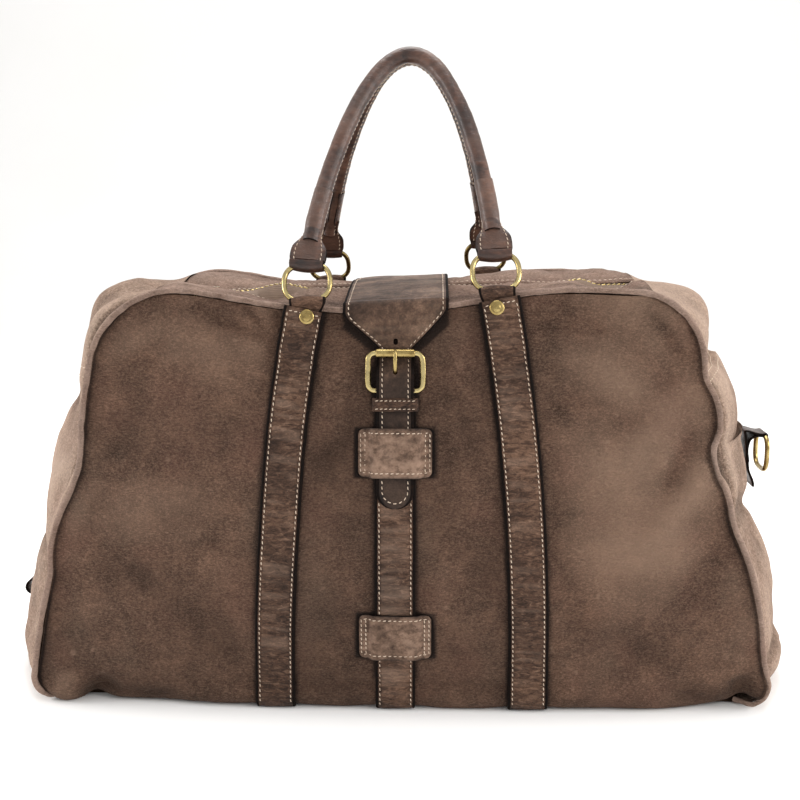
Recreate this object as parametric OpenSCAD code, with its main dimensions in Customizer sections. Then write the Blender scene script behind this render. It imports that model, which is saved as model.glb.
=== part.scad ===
// Leather travel bag: a soft zip-top holdall with two rolled handles on brass rings,
// strap trim, piped seams and a buckled flap over the zip.
// Millimetres. +X runs along the bag, the front faces -Y and +Z is up.
// The origin is the middle of the base's underside.

/* [Body] */
// Width between the piped seams at the foot of the front panel
foot_w = 594; // [570:2:620]
// Width between the piped seams at the rim, if the corners were square
rim_w = 441; // [420:2:460]
// Height of the piped rim at the shoulders
body_h = 322; // [310:1:334]
// Depth of the body at its foot, front face to back face
foot_d = 206; // [196:2:216]
// Depth between the two piped rims
rim_d = 184; // [178:2:192]
// How far the front and back panels belly out
belly = 17; // [10:1:20]
// How far the end gussets swell past the seams
end_swell = 33.5; // [26:0.5:36]
// Radius of the upper corners of the panels
top_corner_r = 52; // [44:1:60]
// Radius of the lower corners of the panels
foot_corner_r = 36; // [28:1:42]
// Radius of the fold from the panels into the base
base_fold_r = 22; // [16:1:26]
// How far the rim sags between the shoulders
rim_sag = 14; // [6:1:18]
// How far the rim and the handle rings tilt, right side up
top_lean = 3.3; // [0:0.1:4]
// Thickness of the body leather
leather_t = 2.4; // [1.8:0.1:3]
// Radius of the piping
piping_r = 3; // [2:0.1:3.4]
// How far the gussets' cross seam lies below the rim
cross_seam_drop = 72; // [60:1:92]
// Thickness of the stiff base board
board_t = 2.5; // [1.5:0.1:4]
// Thickness of the cloth lining
lining_t = 0.8; // [0.5:0.1:1.2]
// Gap left between soft pieces
ease = 0.3; // [0.2:0.05:0.4]

/* [Zip] */
// How far the zip's teeth stop short of the top strips' ends
zip_end_gap = 5; // [4.5:0.5:14]
// How far the zip lies below the rim, in the middle
zip_drop = 7; // [6.5:0.5:9]
// Tilt of the zip, right end up
zip_lean = 1.2; // [0:0.1:2]
// Distance from tooth to tooth
tooth_pitch = 4; // [3:0.25:5]
// Length of one tooth across the zip
tooth_len = 3.2; // [2.6:0.1:3.6]
// Height of one tooth
tooth_t = 2.6; // [2:0.1:3]
// Half of the width left open between the two top strips
zip_open = 9.5; // [8.5:0.1:11]
// Thickness of the zip's cloth tape
tape_t = 1; // [0.6:0.1:1.2]
// Length of the pull
pull_len = 24; // [18:1:26]

/* [Straps] */
// Width of the long straps
strap_w = 30.5; // [26:0.5:34]
// Thickness of the strap leather
strap_t = 2.5; // [2:0.1:3]
// Distance of a long strap from the middle, at its foot
strap_foot_x = 97; // [90:1:106]
// How far a long strap draws in by the time it reaches the rim
strap_draw = 26; // [22:1:28]
// Thickness of one layer of a ring tab
tab_t = 1.8; // [1.5:0.1:2]
// Width of the ring tabs
tab_w = 22; // [20:0.5:22.5]
// Length of a ring tab below its ring
tab_len = 36; // [30:1:44]
// Diameter of the rivet heads
rivet_d = 11; // [8:0.5:13]

/* [Rings and handles] */
// Diameter of the ring wire
wire_d = 4; // [3.4:0.1:4.2]
// Width of a ring, side to side
ring_w = 34; // [33.5:0.5:36]
// Radius of a ring's corners
ring_corner_r = 5.5; // [4.5:0.5:5.5]
// Height of a ring, bar to bar
ring_h = 29; // [27:0.5:32]
// Distance of the handle rings from the middle
ring_x = 69.5; // [66:0.5:73]
// Distance of the front handle rings' foot from the middle, across the bag
ring_y = 97; // [96.5:0.5:99]
// How far the handle rings' pivots lie below the rim
ring_drop = 3; // [2:0.5:4]
// Rise of a handle above its rings
handle_rise = 171; // [150:1:200]
// Radius of the rolled grip
grip_r = 6.5; // [5.5:0.1:7.5]
// Wall of the grip's leather
grip_wall = 2; // [1.5:0.1:2.4]
// How far the top of a handle sits right of its feet
handle_shift = 13; // [0:1:16]

/* [Flap and buckle] */
// How far the flap and buckle sit left of the middle
buckle_x = -4.5; // [-6:0.5:2]
// Width of the flap over the top
flap_w = 78; // [64:1:84]
// Thickness of the flap leather
flap_t = 2.4; // [1.8:0.1:2.8]
// Width of the tongue and of the strap under it
tongue_w = 27.5; // [25:0.5:30]
// Thickness of the tongue
tongue_t = 2; // [1.6:0.1:2.4]
// How far the buckle's lower bar lies below the rim
buckle_drop = 72.5; // [68:0.5:78]
// Height of the buckle, bar to bar
buckle_h = 27.5; // [25:0.5:30]
// Width of the buckle, side bar to side bar
buckle_w = 40; // [38:0.5:44]
// Radius of the buckle's corners
buckle_corner_r = 5; // [4:0.5:6]
// Outer radius of the roller
roller_r = 3.3; // [3:0.1:3.6]
// Radius of the prong
prong_r = 1.5; // [1.2:0.1:1.7]
// How far the tongue reaches below the buckle's lower bar
tongue_reach = 86.5; // [82:0.5:92]
// Width of the two patch loops
patch_w = 58; // [50:1:66]
// Height of the two patch loops
patch_h = 36; // [30:1:40]
// How far the upper patch loop's middle lies below the buckle's lower bar
upper_patch_drop = 45.5; // [42:0.5:50]
// Middle height of the lower patch loop
lower_patch_z = 62; // [56:1:80]

/* [End tabs] */
// Height of the right end ring's pivot
right_end_z = 197; // [190:1:204]
// Height of the left end ring's pivot
left_end_z = 170; // [160:1:180]
// How far the left end tab sits behind the middle
left_end_y = 28; // [0:1:32]
// How far an end ring's pivot stands off the gusset
end_stand = 13; // [12.5:0.5:15]

/* [Hidden] */

suede = [0.48, 0.39, 0.34];
strap_brown = [0.42, 0.33, 0.28];
flap_brown = [0.35, 0.29, 0.25];
handle_brown = [0.29, 0.2, 0.17];
brass = [0.78, 0.68, 0.4];
cloth = [0.25, 0.21, 0.18];

run_gap = 0.06;             // radial play of a brass bar in its loop
cross_seam_z = body_h - cross_seam_drop;
zip_z = body_h - zip_drop;
ring_z = body_h - ring_drop;
buckle_z = body_h - buckle_drop;
tongue_tip_z = buckle_z - tongue_reach;
upper_patch_z = buckle_z - upper_patch_drop;
wire_r = wire_d / 2;
loop_r = wire_r + run_gap + tab_t;
seam_inset = piping_r + ease;
skin_top = body_h - seam_inset;
foot_half = wall_half(foot_corner_r) - foot_corner_r;
fold_half = foot_d / 2 - base_fold_r;
round_steps = 48;

function lerp(a, b, t) = a + (b - a) * t;
function clamp(t) = min(1, max(0, t));
function smooth(t) = let (k = clamp(t)) k * k * (3 - 2 * k);
function unit(v) = v / norm(v);

// Half width of the piped outline on a straight side, at height z
function wall_half(z) = lerp(foot_w, rim_w, z / body_h) / 2;

// Half width of the outline set in by d, at height z, with its round corners
function edge_half(z, d) =
    let (rt = top_corner_r - d, zt = body_h - d - rt, rf = foot_corner_r - d, up = z - zt,
         down = foot_corner_r - z)
    z > zt ? wall_half(z) - d - rt + sqrt(max(0, rt * rt - up * up))
    : z < foot_corner_r ? wall_half(foot_corner_r) - foot_corner_r
        + sqrt(max(0, rf * rf - down * down))
    : wall_half(z) - d;

// Distance of the piped seam from the middle plane, at height z
function edge_depth(z) =
    let (down = base_fold_r - z, face = lerp(foot_d, rim_d, z / body_h) / 2)
    z < base_fold_r ? fold_half + sqrt(max(0, base_fold_r * base_fold_r - down * down))
    : lerp(foot_d / 2, face, clamp((z - base_fold_r) / 60));

// How much of the belly a panel has at height z: most low down, none at its ends
function belly_share(z) =
    sin(180 * pow(clamp((z - base_fold_r) / (body_h - base_fold_r)), 0.7));

// How far the rim has dropped or risen at x
function rim_shift(x) =
    let (w = abs(x) < 170 ? pow(cos(90 * x / 170), 2) : 0, k = 1 - smooth((abs(x) - 80) / 90))
    -rim_sag * w + x * tan(top_lean) * k;

function rim_at(x) = body_h + rim_shift(x);
function zip_at(x) = zip_z + x * tan(zip_lean);

// Depth of the front face from the middle plane
function face_depth(x, z) =
    let (q = min(1, abs(x) / edge_half(min(z, skin_top), seam_inset)))
    edge_depth(z) + belly * belly_share(z) * (1 - pow(q, 3));

// How much of the rim's sag reaches down to height z
function sag_share(z) = pow(clamp((z - 150) / (body_h - 150)), 2);

// The body's outer skin on the front: x along the bag, z the height before the rim sags
function skin(x, z) = [x, -face_depth(x, z), z + rim_shift(x) * sag_share(z)];

function skin_normal(x, z) =
    let (e = 0.02, dx = skin(x + e, z) - skin(x - e, z),
         dz = skin(x, min(body_h, z + e)) - skin(x, max(0, z - e)))
    unit(cross(dx, dz));

// A point that stands off the skin by lift
function on_skin(x, z, lift) = skin(x, z) + lift * skin_normal(x, z);

// The height that sags down to z
function settle(x, z, guess, turns) =
    turns == 0 ? guess : settle(x, z, z - rim_shift(x) * sag_share(guess), turns - 1);
function before_sag(x, z) = settle(x, z, z, 8);

// The leather at each point of a grid of rows, from one lift to another along its normals
module hide(grid, low, high) {
    rows = len(grid);
    cols = len(grid[0]);
    function row(i) = min(rows - 1, max(0, i));
    function col(j) = min(cols - 1, max(0, j));
    function lean(i, j) = unit(cross(grid[i][col(j + 1)] - grid[i][col(j - 1)],
                                     grid[row(i + 1)][j] - grid[row(i - 1)][j]));
    face_count = rows * cols;
    points = [for (lift = [high, low]) for (i = [0:rows - 1]) for (j = [0:cols - 1])
              grid[i][j] + lift * lean(i, j)];
    function at(i, j) = i * cols + j;
    function back(k) = k + face_count;
    cells = [for (i = [0:rows - 2]) for (j = [0:cols - 2])
             [at(i, j), at(i, j + 1), at(i + 1, j + 1), at(i + 1, j)]];
    rim = concat(
        [for (j = [0:cols - 2]) [at(0, j), at(0, j + 1)]],
        [for (j = [0:cols - 2]) [at(rows - 1, j + 1), at(rows - 1, j)]],
        [for (i = [0:rows - 2]) [at(i + 1, 0), at(i, 0)]],
        [for (i = [0:rows - 2]) [at(i, cols - 1), at(i + 1, cols - 1)]]);
    faces = concat(
        [for (c = cells) [c[0], c[3], c[2]]], [for (c = cells) [c[0], c[2], c[1]]],
        [for (c = cells) [back(c[0]), back(c[1]), back(c[2])]],
        [for (c = cells) [back(c[0]), back(c[2]), back(c[3])]],
        [for (e = rim) [e[0], e[1], back(e[1])]],
        [for (e = rim) [e[0], back(e[1]), back(e[0])]]);
    polyhedron(points, faces, convexity = 10);
}

// The rings of points of a tube of radius r along a line of points
function tube_ring(line, i, r, sides, side_dir) =
    let (last = len(line) - 1, way = unit(line[min(last, i + 1)] - line[max(0, i - 1)]),
         u = unit(cross(way, side_dir)), v = cross(u, way))
    [for (k = [0:sides - 1]) line[i] + r * (cos(360 * k / sides) * u + sin(360 * k / sides) * v)];

// A solid cord along a line, with flat ends
module cord(line, r, sides, side_dir) {
    count = len(line);
    points = [for (i = [0:count - 1]) each tube_ring(line, i, r, sides, side_dir)];
    faces = concat(
        [for (i = [0:count - 2]) for (k = [0:sides - 1]) let (a = i * sides + k,
         b = i * sides + (k + 1) % sides) each [[a, b, b + sides], [a, b + sides, a + sides]]],
        [[for (k = [sides - 1:-1:0]) k]],
        [[for (k = [0:sides - 1]) (count - 1) * sides + k]]);
    polyhedron(points, faces, convexity = 6);
}

// A hollow sleeve along a line
module sleeve(line, r, wall, sides, side_dir) {
    count = len(line);
    shell = count * sides;
    points = [for (rr = [r, r - wall]) for (i = [0:count - 1])
              each tube_ring(line, i, rr, sides, side_dir)];
    sidewalls = [for (i = [0:count - 2]) for (k = [0:sides - 1])
                 [i * sides + k, i * sides + (k + 1) % sides]];
    faces = concat(
        [for (e = sidewalls) each [[e[0], e[1], e[1] + sides], [e[0], e[1] + sides, e[0] + sides]]],
        [for (e = sidewalls) each [[shell + e[1], shell + e[0], shell + e[0] + sides],
                                   [shell + e[1], shell + e[0] + sides, shell + e[1] + sides]]],
        [for (k = [0:sides - 1]) let (n = (k + 1) % sides)
         each [[n, k, shell + k], [n, shell + k, shell + n]]],
        [for (k = [0:sides - 1]) let (n = (k + 1) % sides, a = shell - sides)
         each [[a + k, a + n, shell + a + n], [a + k, shell + a + n, shell + a + k]]]);
    polyhedron(points, faces, convexity = 8);
}

// Heights of a panel's rows: close together in the base fold and at the upper corners
fold_rows = [for (a = [0:22.5:90]) base_fold_r * (1 - cos(a))];
corner_z = body_h - top_corner_r;
wall_rows = [for (k = [1:6]) lerp(base_fold_r, corner_z, k / 6)];
corner_rows = [for (a = [18:18:90]) corner_z + (skin_top - corner_z) * sin(a)];
panel_rows = concat(fold_rows, wall_rows, corner_rows);
panel_cols = [for (q = [-1, -0.97, -0.9, -0.8, -0.68, -0.55, -0.42, -0.3, -0.2, -0.1, 0,
                        0.1, 0.2, 0.3, 0.42, 0.55, 0.68, 0.8, 0.9, 0.97, 1]) q];

module panel() {
    grid = [for (z = panel_rows)
            [for (q = panel_cols) skin(q * edge_half(z, seam_inset), z)]];
    hide(grid, -leather_t, 0);
}

module front_panel() {
    color(suede) panel();
}

module rear_panel() {
    color(suede) mirror([0, 1, 0]) panel();
}

// The piped seam in the plane of a panel, from the foot up the right side: [x, z, way out]
function corner_seam(a) =
    let (z = corner_z + top_corner_r * sin(a))
    [wall_half(z) - top_corner_r * (1 - cos(a)), z, [cos(a), sin(a)]];
foot_seam = [for (a = [90:-15:0]) let (z = foot_corner_r * (1 - sin(a)))
             [foot_half + foot_corner_r * cos(a), z, [1, 0]]];
side_seam = [for (k = [1:5]) let (z = lerp(foot_corner_r, cross_seam_z, k / 5))
             [wall_half(z), z, [1, 0]]];
strip_end_a = 70;            // angle round the upper corner where the top strips begin
strip_end_x = corner_seam(strip_end_a)[0];
strip_end_z = corner_seam(strip_end_a)[1];
chain_half = strip_end_x - zip_end_gap;

// How far a gusset stands out past its seam at height z: less at the foot and higher up
function gusset_swell(z) =
    end_swell * (1 - pow(1 - clamp(z / foot_corner_r), 2)) * (1 - 0.3 * smooth((z - 180) / 90));

// A gusset's cross profile: 0 at the seams, 1 at its crown
gusset_cols = [-1, -0.95, -0.8, -0.45, 0, 0.45, 0.8, 0.95, 1];
function crown(c) = pow(1 - c * c, 0.6);

function gusset_row(x, z, way, swell) =
    [for (c = gusset_cols) let (half = edge_depth(z) - leather_t / 2 - seam_inset)
     [x + way[0] * swell * crown(c), c * half, z + way[1] * swell * crown(c)]];

module end_gusset() {
    rows = [for (s = concat(foot_seam, side_seam)) gusset_row(s[0], s[1], s[2],
            gusset_swell(s[1]))];
    hide(rows, -leather_t, 0);
}

module left_gusset() {
    color(suede) mirror([1, 0, 0]) end_gusset();
}

module right_gusset() {
    color(suede) end_gusset();
}

// The gusset's upper piece, from the cross seam round the upper corner to the zip's end
module corner_strip() {
    side_z = cross_seam_z + ease;
    rise = [for (k = [0:2]) let (z = lerp(side_z, corner_z, k / 2))
            gusset_row(wall_half(z), z, [1, 0], gusset_swell(z))];
    turn = [for (a = [10:10:strip_end_a]) let (s = corner_seam(a))
            gusset_row(s[0], s[1], s[2], gusset_swell(body_h) * (1 - pow(a / 75, 1.6)))];
    hide(concat(rise, turn), -leather_t, 0);
}

module left_corner_strip() {
    color(suede) mirror([1, 0, 0]) corner_strip();
}

module right_corner_strip() {
    color(suede) corner_strip();
}

// Clearance between the base's edge and the panels folded under it
base_gap = 0.8;
module base_plate(half_x, half_y, z, t) {
    r = 12;
    translate([0, 0, z]) linear_extrude(t) hull()
        for (x = [-1, 1]) for (y = [-1, 1])
            translate([x * (half_x - r), y * (half_y - r)]) circle(r, $fn = round_steps);
}

module base_panel() {
    color(suede) base_plate(foot_half - base_gap, fold_half - base_gap, 0, leather_t);
}

module base_board() {
    color(cloth) base_plate(foot_half - base_gap - ease, fold_half - base_gap - ease, leather_t + ease,
                            board_t);
}

// One loop of points round the inside of the body, at height z and inset by gap
lining_gap = 1.5;
lining_floor = leather_t + board_t + 2 * ease;
lining_top = cross_seam_z + 8;
function fold_in(z, gap) =
    let (r = base_fold_r - gap, down = base_fold_r - z)
    z < base_fold_r ? base_fold_r - sqrt(max(0, r * r - down * down)) : gap;
function lining_loop(z, gap) =
    let (in = leather_t + gap, half_x = edge_half(z, seam_inset + in) - 1,
         share = fold_in(z, in) - fold_in(z, 0),
         side = edge_depth(z) - leather_t / 2 - seam_inset - share,
         front = [for (q = panel_cols) [q * half_x, share - face_depth(q * half_x, z), z]],
         right = [for (j = [1:len(gusset_cols) - 2]) let (c = gusset_cols[j])
                  [half_x + (gusset_swell(z) - 1) * crown(c), c * side, z]])
    concat(front, right, [for (p = front) [-p[0], -p[1], z]],
           [for (p = right) [-p[0], -p[1], z]]);

module lining() {
    levels = concat([lining_floor],
                    [for (z = panel_rows) if (z > lining_floor + 2 && z < lining_top - 8) z],
                    [lining_top]);
    outer = [for (z = levels) lining_loop(z, lining_gap)];
    inner = [for (z = levels) [for (p = lining_loop(z, lining_gap + lining_t))
             [p[0], p[1], max(p[2], lining_floor + lining_t)]]];
    count = len(levels);
    n = len(outer[0]);
    points = concat([for (ring = outer) each ring], [for (ring = inner) each ring],
                    [[0, 0, lining_floor], [0, 0, lining_floor + lining_t]]);
    shell = count * n;
    walls = [for (i = [0:count - 2]) for (k = [0:n - 1]) [i * n + k, i * n + (k + 1) % n]];
    faces = concat(
        [for (e = walls) each [[e[0], e[1] + n, e[1]], [e[0], e[0] + n, e[1] + n]]],
        [for (e = walls) each [[shell + e[0], shell + e[1], shell + e[1] + n],
                               [shell + e[0], shell + e[1] + n, shell + e[0] + n]]],
        [for (k = [0:n - 1]) let (a = shell - n + k, b = shell - n + (k + 1) % n)
         each [[a, shell + a, shell + b], [a, shell + b, b]]],
        [for (k = [0:n - 1]) [k, (k + 1) % n, 2 * shell]],
        [for (k = [0:n - 1]) [shell + (k + 1) % n, shell + k, 2 * shell + 1]]);
    color(cloth) polyhedron(points, faces, convexity = 6);
}

// The top strips: from the piped rim to the zip, with a soft swell between
strip_puff = 4;
strip_lap = tape_t / 2 + ease;
function strip_rim(x) =
    rim_at(x) - (body_h - strip_end_z) * pow(clamp((abs(x) - rim_w / 2 + top_corner_r)
    / (strip_end_x - rim_w / 2 + top_corner_r)), 2);

module top_strip() {
    end_x = strip_end_x - ease;
    xs = [for (k = [-9:9]) end_x * k / 9];
    rim_y = -(edge_depth(body_h) - leather_t / 2 - seam_inset);
    rows = [for (s = [0, 0.2, 0.45, 0.75, 1]) [for (x = xs)
            [x, lerp(rim_y, -zip_open, s),
             lerp(strip_rim(x), zip_at(x) + strip_lap + leather_t, s)
             + strip_puff * sin(180 * s)]]];
    hide(rows, -leather_t, 0);
}

module front_top_strip() {
    color(suede) top_strip();
}

module rear_top_strip() {
    color(suede) mirror([0, 1, 0]) top_strip();
}

// The piping follows the seam up one side, over the rim and down the other
module piping() {
    out = leather_t / 2;
    foot = [for (s = foot_seam) if (s[1] > piping_r + 1) [s[0], s[1]]];
    up = [for (k = [1:6]) let (z = lerp(foot_corner_r, corner_z, k / 6)) [wall_half(z), z]];
    turn = [for (a = [15:15:90]) let (s = corner_seam(a)) [s[0], s[1]]];
    right = concat(foot, up, turn);
    rim = [for (k = [-7:7]) (rim_w / 2 - top_corner_r) * k / 8];
    last = len(right) - 1;
    function seam_point(p) = [p[0], -(edge_depth(p[1]) - out), p[1]];
    line = concat([for (p = right) let (s = seam_point(p)) [-s[0], s[1], s[2]]],
                  [for (x = rim) [x, -(edge_depth(body_h) - out), rim_at(x)]],
                  [for (i = [last:-1:0]) seam_point(right[i])]);
    cord(line, piping_r, 6, [0, 1, 0]);
}

module front_piping() {
    color(strap_brown) piping();
}

module rear_piping() {
    color(strap_brown) mirror([0, 1, 0]) piping();
}

// Everything on the zip is drawn with the chain's middle on the X axis
module on_zip() {
    translate([0, 0, zip_z]) rotate([0, -zip_lean, 0]) children();
}

tooth_gap = 0.75;            // half of the slot between the two rows, where the slider's post runs
tooth_out = tooth_gap + tooth_len;

module zip_tape() {
    on_zip() translate([-chain_half, tooth_out + 0.1, -tape_t / 2])
        cube([2 * chain_half, 10, tape_t]);
}

module front_zip_tape() {
    color(cloth) mirror([0, 1, 0]) zip_tape();
}

module rear_zip_tape() {
    color(cloth) zip_tape();
}

// One row of teeth as a comb: a spine along the tape and a tooth at each pitch
module tooth_row(start) {
    spine = 1.1;
    count = floor((2 * chain_half - tooth_pitch) / tooth_pitch);
    edge = [for (k = [0:count - 1]) let (x = -chain_half + start + k * tooth_pitch)
            each [[x, tooth_out - spine], [x + 0.4, tooth_gap], [x + tooth_pitch / 2, tooth_gap],
                  [x + tooth_pitch / 2 + 0.4, tooth_out - spine]]];
    on_zip() translate([0, 0, -tooth_t / 2]) linear_extrude(tooth_t)
        polygon(concat([[-chain_half, tooth_out], [-chain_half, tooth_out - spine]], edge,
                       [[chain_half, tooth_out - spine], [chain_half, tooth_out]]));
}

module front_zip_teeth() {
    color(brass) mirror([0, 1, 0]) tooth_row(0.5);
}

module rear_zip_teeth() {
    color(brass) tooth_row(0.5 + tooth_pitch / 2);
}

module zip_stops() {
    stop_l = 3;
    color(brass) on_zip() for (x = [-1, 1]) for (y = [-1, 1])
        translate([x * (chain_half + 0.1 + stop_l / 2), y * (tooth_gap + tooth_len / 2), 0])
            cube([stop_l, tooth_len, tooth_t], center = true);
}

slider_l = 10;
slider_start = -(chain_half - slider_l / 2 - 1);
plate_t = 1.2;
plate_low = tooth_t / 2 + 0.3;
plate_top = plate_low + plate_t;
pin_r = 0.6;
eye_r = 1.35;
pin_z = plate_top + eye_r + 0.15;

module zip_slider() {
    half_w = tooth_out + 2.2;
    lip_in = tooth_out + 0.6;
    lip_z = tape_t / 2 + 0.4;
    color(brass) on_zip() translate([slider_start, 0, 0]) {
        for (side = [-1, 1]) {
            translate([-slider_l / 2, -half_w, side > 0 ? plate_low : -plate_top])
                cube([slider_l, 2 * half_w, plate_t]);
            for (y = [-1, 1])
                translate([-slider_l / 2, y > 0 ? lip_in : -half_w,
                           side > 0 ? lip_z : -plate_low - 0.1])
                    cube([slider_l, half_w - lip_in, plate_low - lip_z + 0.1]);
            translate([-1.7, side > 0 ? eye_r + 0.5 : -eye_r - 1.7, plate_top - 0.1])
                cube([3.4, 1.2, pin_z + pin_r + 0.5 - plate_top]);
        }
        translate([-slider_l / 2, -0.45, -plate_low - 0.1])
            cube([3, 0.9, 2 * plate_low + 0.2]);
        translate([0, 0, pin_z]) rotate([90, 0, 0])
            cylinder(r = pin_r, h = 2 * (eye_r + 1), center = true, $fn = round_steps);
    }
}

module zip_pull() {
    eye_w = 2 * eye_r + 0.6;
    pull_w = 7;
    pull_t = 1.5;
    color(brass) on_zip() translate([slider_start, 0, pin_z]) difference() {
        union() {
            rotate([90, 0, 0]) cylinder(r = eye_r, h = eye_w, center = true, $fn = round_steps);
            translate([0, -eye_w / 2, -pull_t / 2]) cube([5, eye_w, pull_t]);
            translate([4, -pull_w / 2, -pull_t / 2]) cube([pull_len - 4 - pull_w / 2, pull_w, pull_t]);
            translate([pull_len - pull_w / 2, 0, -pull_t / 2])
                cylinder(d = pull_w, h = pull_t, $fn = round_steps);
        }
        rotate([90, 0, 0])
            cylinder(r = pin_r + run_gap, h = eye_w + 1, center = true, $fn = round_steps);
        translate([pull_len - pull_w / 2, 0, -pull_t])
            cylinder(d = 3, h = 2 * pull_t, $fn = round_steps);
    }
}

// A long strap's middle line
function strap_x(z) = strap_foot_x - strap_draw * pow(clamp(z / body_h), 2.2);

// The straps lie on the panel and rise over the ring tabs and the piping at their tops
tab_foot_z = body_h - tab_len;
pipe_lift = 2.4;
function pipe_rise(z) = pipe_lift * smooth((z - body_h + 18) / 9);
function strap_lift(z) =
    ease + (2 * tab_t + ease) * smooth((z - tab_foot_z + 10) / 8) + pipe_rise(z);

// One long strap of the front: side is -1 on the left and 1 on the right
module long_strap(side) {
    heights = concat([for (z = panel_rows) if (z > 5 && z < tab_foot_z - 12) z],
                     [for (k = [0:4]) lerp(tab_foot_z - 11, tab_foot_z - 2, k / 4)],
                     [for (k = [0:4]) lerp(body_h - 19, body_h - 1, k / 4)]);
    hide([for (z = heights) [for (x = [-strap_w / 2, 0, strap_w / 2])
          on_skin(side * strap_x(z) + x, z, strap_lift(z))]], 0, strap_t);
}

module front_left_strap() {
    color(strap_brown) long_strap(-1);
}

module front_right_strap() {
    color(strap_brown) long_strap(1);
}

module rear_left_strap() {
    color(strap_brown) mirror([0, 1, 0]) long_strap(-1);
}

module rear_right_strap() {
    color(strap_brown) mirror([0, 1, 0]) long_strap(1);
}

// The line through the front rings' lower bars, tilted with the rim
module on_ring_line() {
    translate([0, -ring_y, ring_z]) rotate([0, -top_lean, 0]) children();
}

// The plane in which the handle and its rings lean back until the two handles prop each other
prop_gap = 0.4;
handle_lean = asin((ring_y - grip_r - prop_gap) / (ring_h + handle_rise));
module on_handle_plane() {
    on_ring_line() rotate([-handle_lean, 0, 0]) children();
}

// A closed loop of wire with its lower bar on the X axis and its upper bar above it
module wire_loop(w, h, corner_r) {
    long = w - 2 * corner_r;
    tall = h - 2 * corner_r;
    translate([0, 0, h / 2]) {
        for (z = [-h / 2, h / 2])
            translate([0, 0, z]) rotate([0, 90, 0])
                cylinder(r = wire_r, h = long, center = true, $fn = round_steps);
        for (x = [-w / 2, w / 2])
            translate([x, 0, 0])
                cylinder(r = wire_r, h = tall, center = true, $fn = round_steps);
        for (x = [0, 1]) for (z = [0, 1])
            mirror([x, 0, 0]) mirror([0, 0, z])
                translate([long / 2, 0, tall / 2]) rotate([90, 0, 0])
                    rotate_extrude(angle = 90, $fn = 96) translate([corner_r, 0])
                        circle(wire_r, $fn = round_steps);
    }
}

module ring() {
    wire_loop(ring_w, ring_h, ring_corner_r);
}

// A leather loop round a bar on the X axis, open inside, with what is drawn under it joined on
module bar_loop(width, wall) {
    reach = wire_r + run_gap + wall;
    difference() {
        union() {
            rotate([0, 90, 0]) cylinder(r = reach, h = width, center = true, $fn = round_steps);
            children();
        }
        rotate([0, 90, 0])
            cylinder(r = wire_r + run_gap, h = width + 2, center = true, $fn = round_steps);
    }
}

// A flat outline in Y and Z carried along X, centred
module across(width) {
    rotate([90, 0, 90]) translate([0, 0, -width / 2]) linear_extrude(width) children();
}

// The tab round a front ring's lower bar: its doubled leg runs down under the strap's end
module ring_tab(side) {
    function leg(z, lift) =
        let (p = on_skin(side * ring_x, z, lift + ease + pipe_rise(z)))
        [p[1] + ring_y, p[2] - ring_z - side * ring_x * sin(top_lean)];
    levels = [tab_foot_z, tab_foot_z + 9, body_h - 18, body_h - 13, body_h - 9, body_h];
    inner = [for (z = levels) leg(z, 0)];
    outer = [for (k = [len(levels) - 1:-1:0]) leg(levels[k], 2 * tab_t)];
    on_ring_line() translate([side * ring_x, 0, 0]) bar_loop(tab_w, tab_t) across(tab_w)
        polygon(concat(inner, [[1, -wire_r - run_gap], [-1.9, -wire_r - run_gap]], outer));
}

module front_left_ring_tab() {
    color(handle_brown) ring_tab(-1);
}

module front_right_ring_tab() {
    color(handle_brown) ring_tab(1);
}

module rear_left_ring_tab() {
    color(handle_brown) mirror([0, 1, 0]) ring_tab(-1);
}

module rear_right_ring_tab() {
    color(handle_brown) mirror([0, 1, 0]) ring_tab(1);
}

// A rivet from outside the strap's end to a washer inside the panel
module strap_rivet(side) {
    z = body_h - 8;
    x = side * ring_x;
    n = skin_normal(x, z);
    shank_r = 1.8;
    head_t = 1.2;
    washer_t = 0.8;
    strap_out = strap_lift(z) + strap_t;
    translate(skin(x, z)) rotate([0, acos(n[2]), atan2(n[1], n[0])]) {
        translate([0, 0, -leather_t - washer_t])
            cylinder(r = shank_r, h = leather_t + washer_t + strap_out + head_t,
                     $fn = round_steps);
        translate([0, 0, strap_out]) cylinder(d = rivet_d, h = head_t, $fn = round_steps);
        translate([0, 0, -leather_t - washer_t - 0.1])
            cylinder(d = 0.7 * rivet_d, h = washer_t, $fn = round_steps);
    }
}

module strap_rivets() {
    color(brass) for (side = [-1, 1]) {
        strap_rivet(side);
        mirror([0, 1, 0]) strap_rivet(side);
    }
}

module ring_at(side) {
    on_handle_plane() translate([side * ring_x, 0, 0]) ring();
}

module front_left_ring() {
    color(brass) ring_at(-1);
}

module front_right_ring() {
    color(brass) ring_at(1);
}

module rear_left_ring() {
    color(brass) mirror([0, 1, 0]) ring_at(-1);
}

module rear_right_ring() {
    color(brass) mirror([0, 1, 0]) ring_at(1);
}

// The handle's middle line in the leaning plane, from the right foot over the top to the left
function handle_at(t) =
    let (rise = handle_rise * pow(sin(t), 1.54))
    [ring_x * cos(t) + handle_shift * rise / handle_rise, 0, ring_h + rise];
grip_from = 16;
core_from = 21;
plug_l = 9;
function handle_line(from, step) = [for (t = [from:step:180 - from]) handle_at(t)];

module handle_cover() {
    on_handle_plane() sleeve(handle_line(grip_from, 3.7), grip_r, grip_wall, 10, [0, 1, 0]);
}

module handle_core() {
    on_handle_plane()
        cord(handle_line(core_from, 4.6), grip_r - grip_wall - 2 * ease, 8, [0, 1, 0]);
}

module front_handle_cover() {
    color(handle_brown) handle_cover();
}

module rear_handle_cover() {
    color(handle_brown) mirror([0, 1, 0]) handle_cover();
}

module front_handle_core() {
    color(cloth) handle_core();
}

module rear_handle_core() {
    color(cloth) mirror([0, 1, 0]) handle_core();
}

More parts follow.
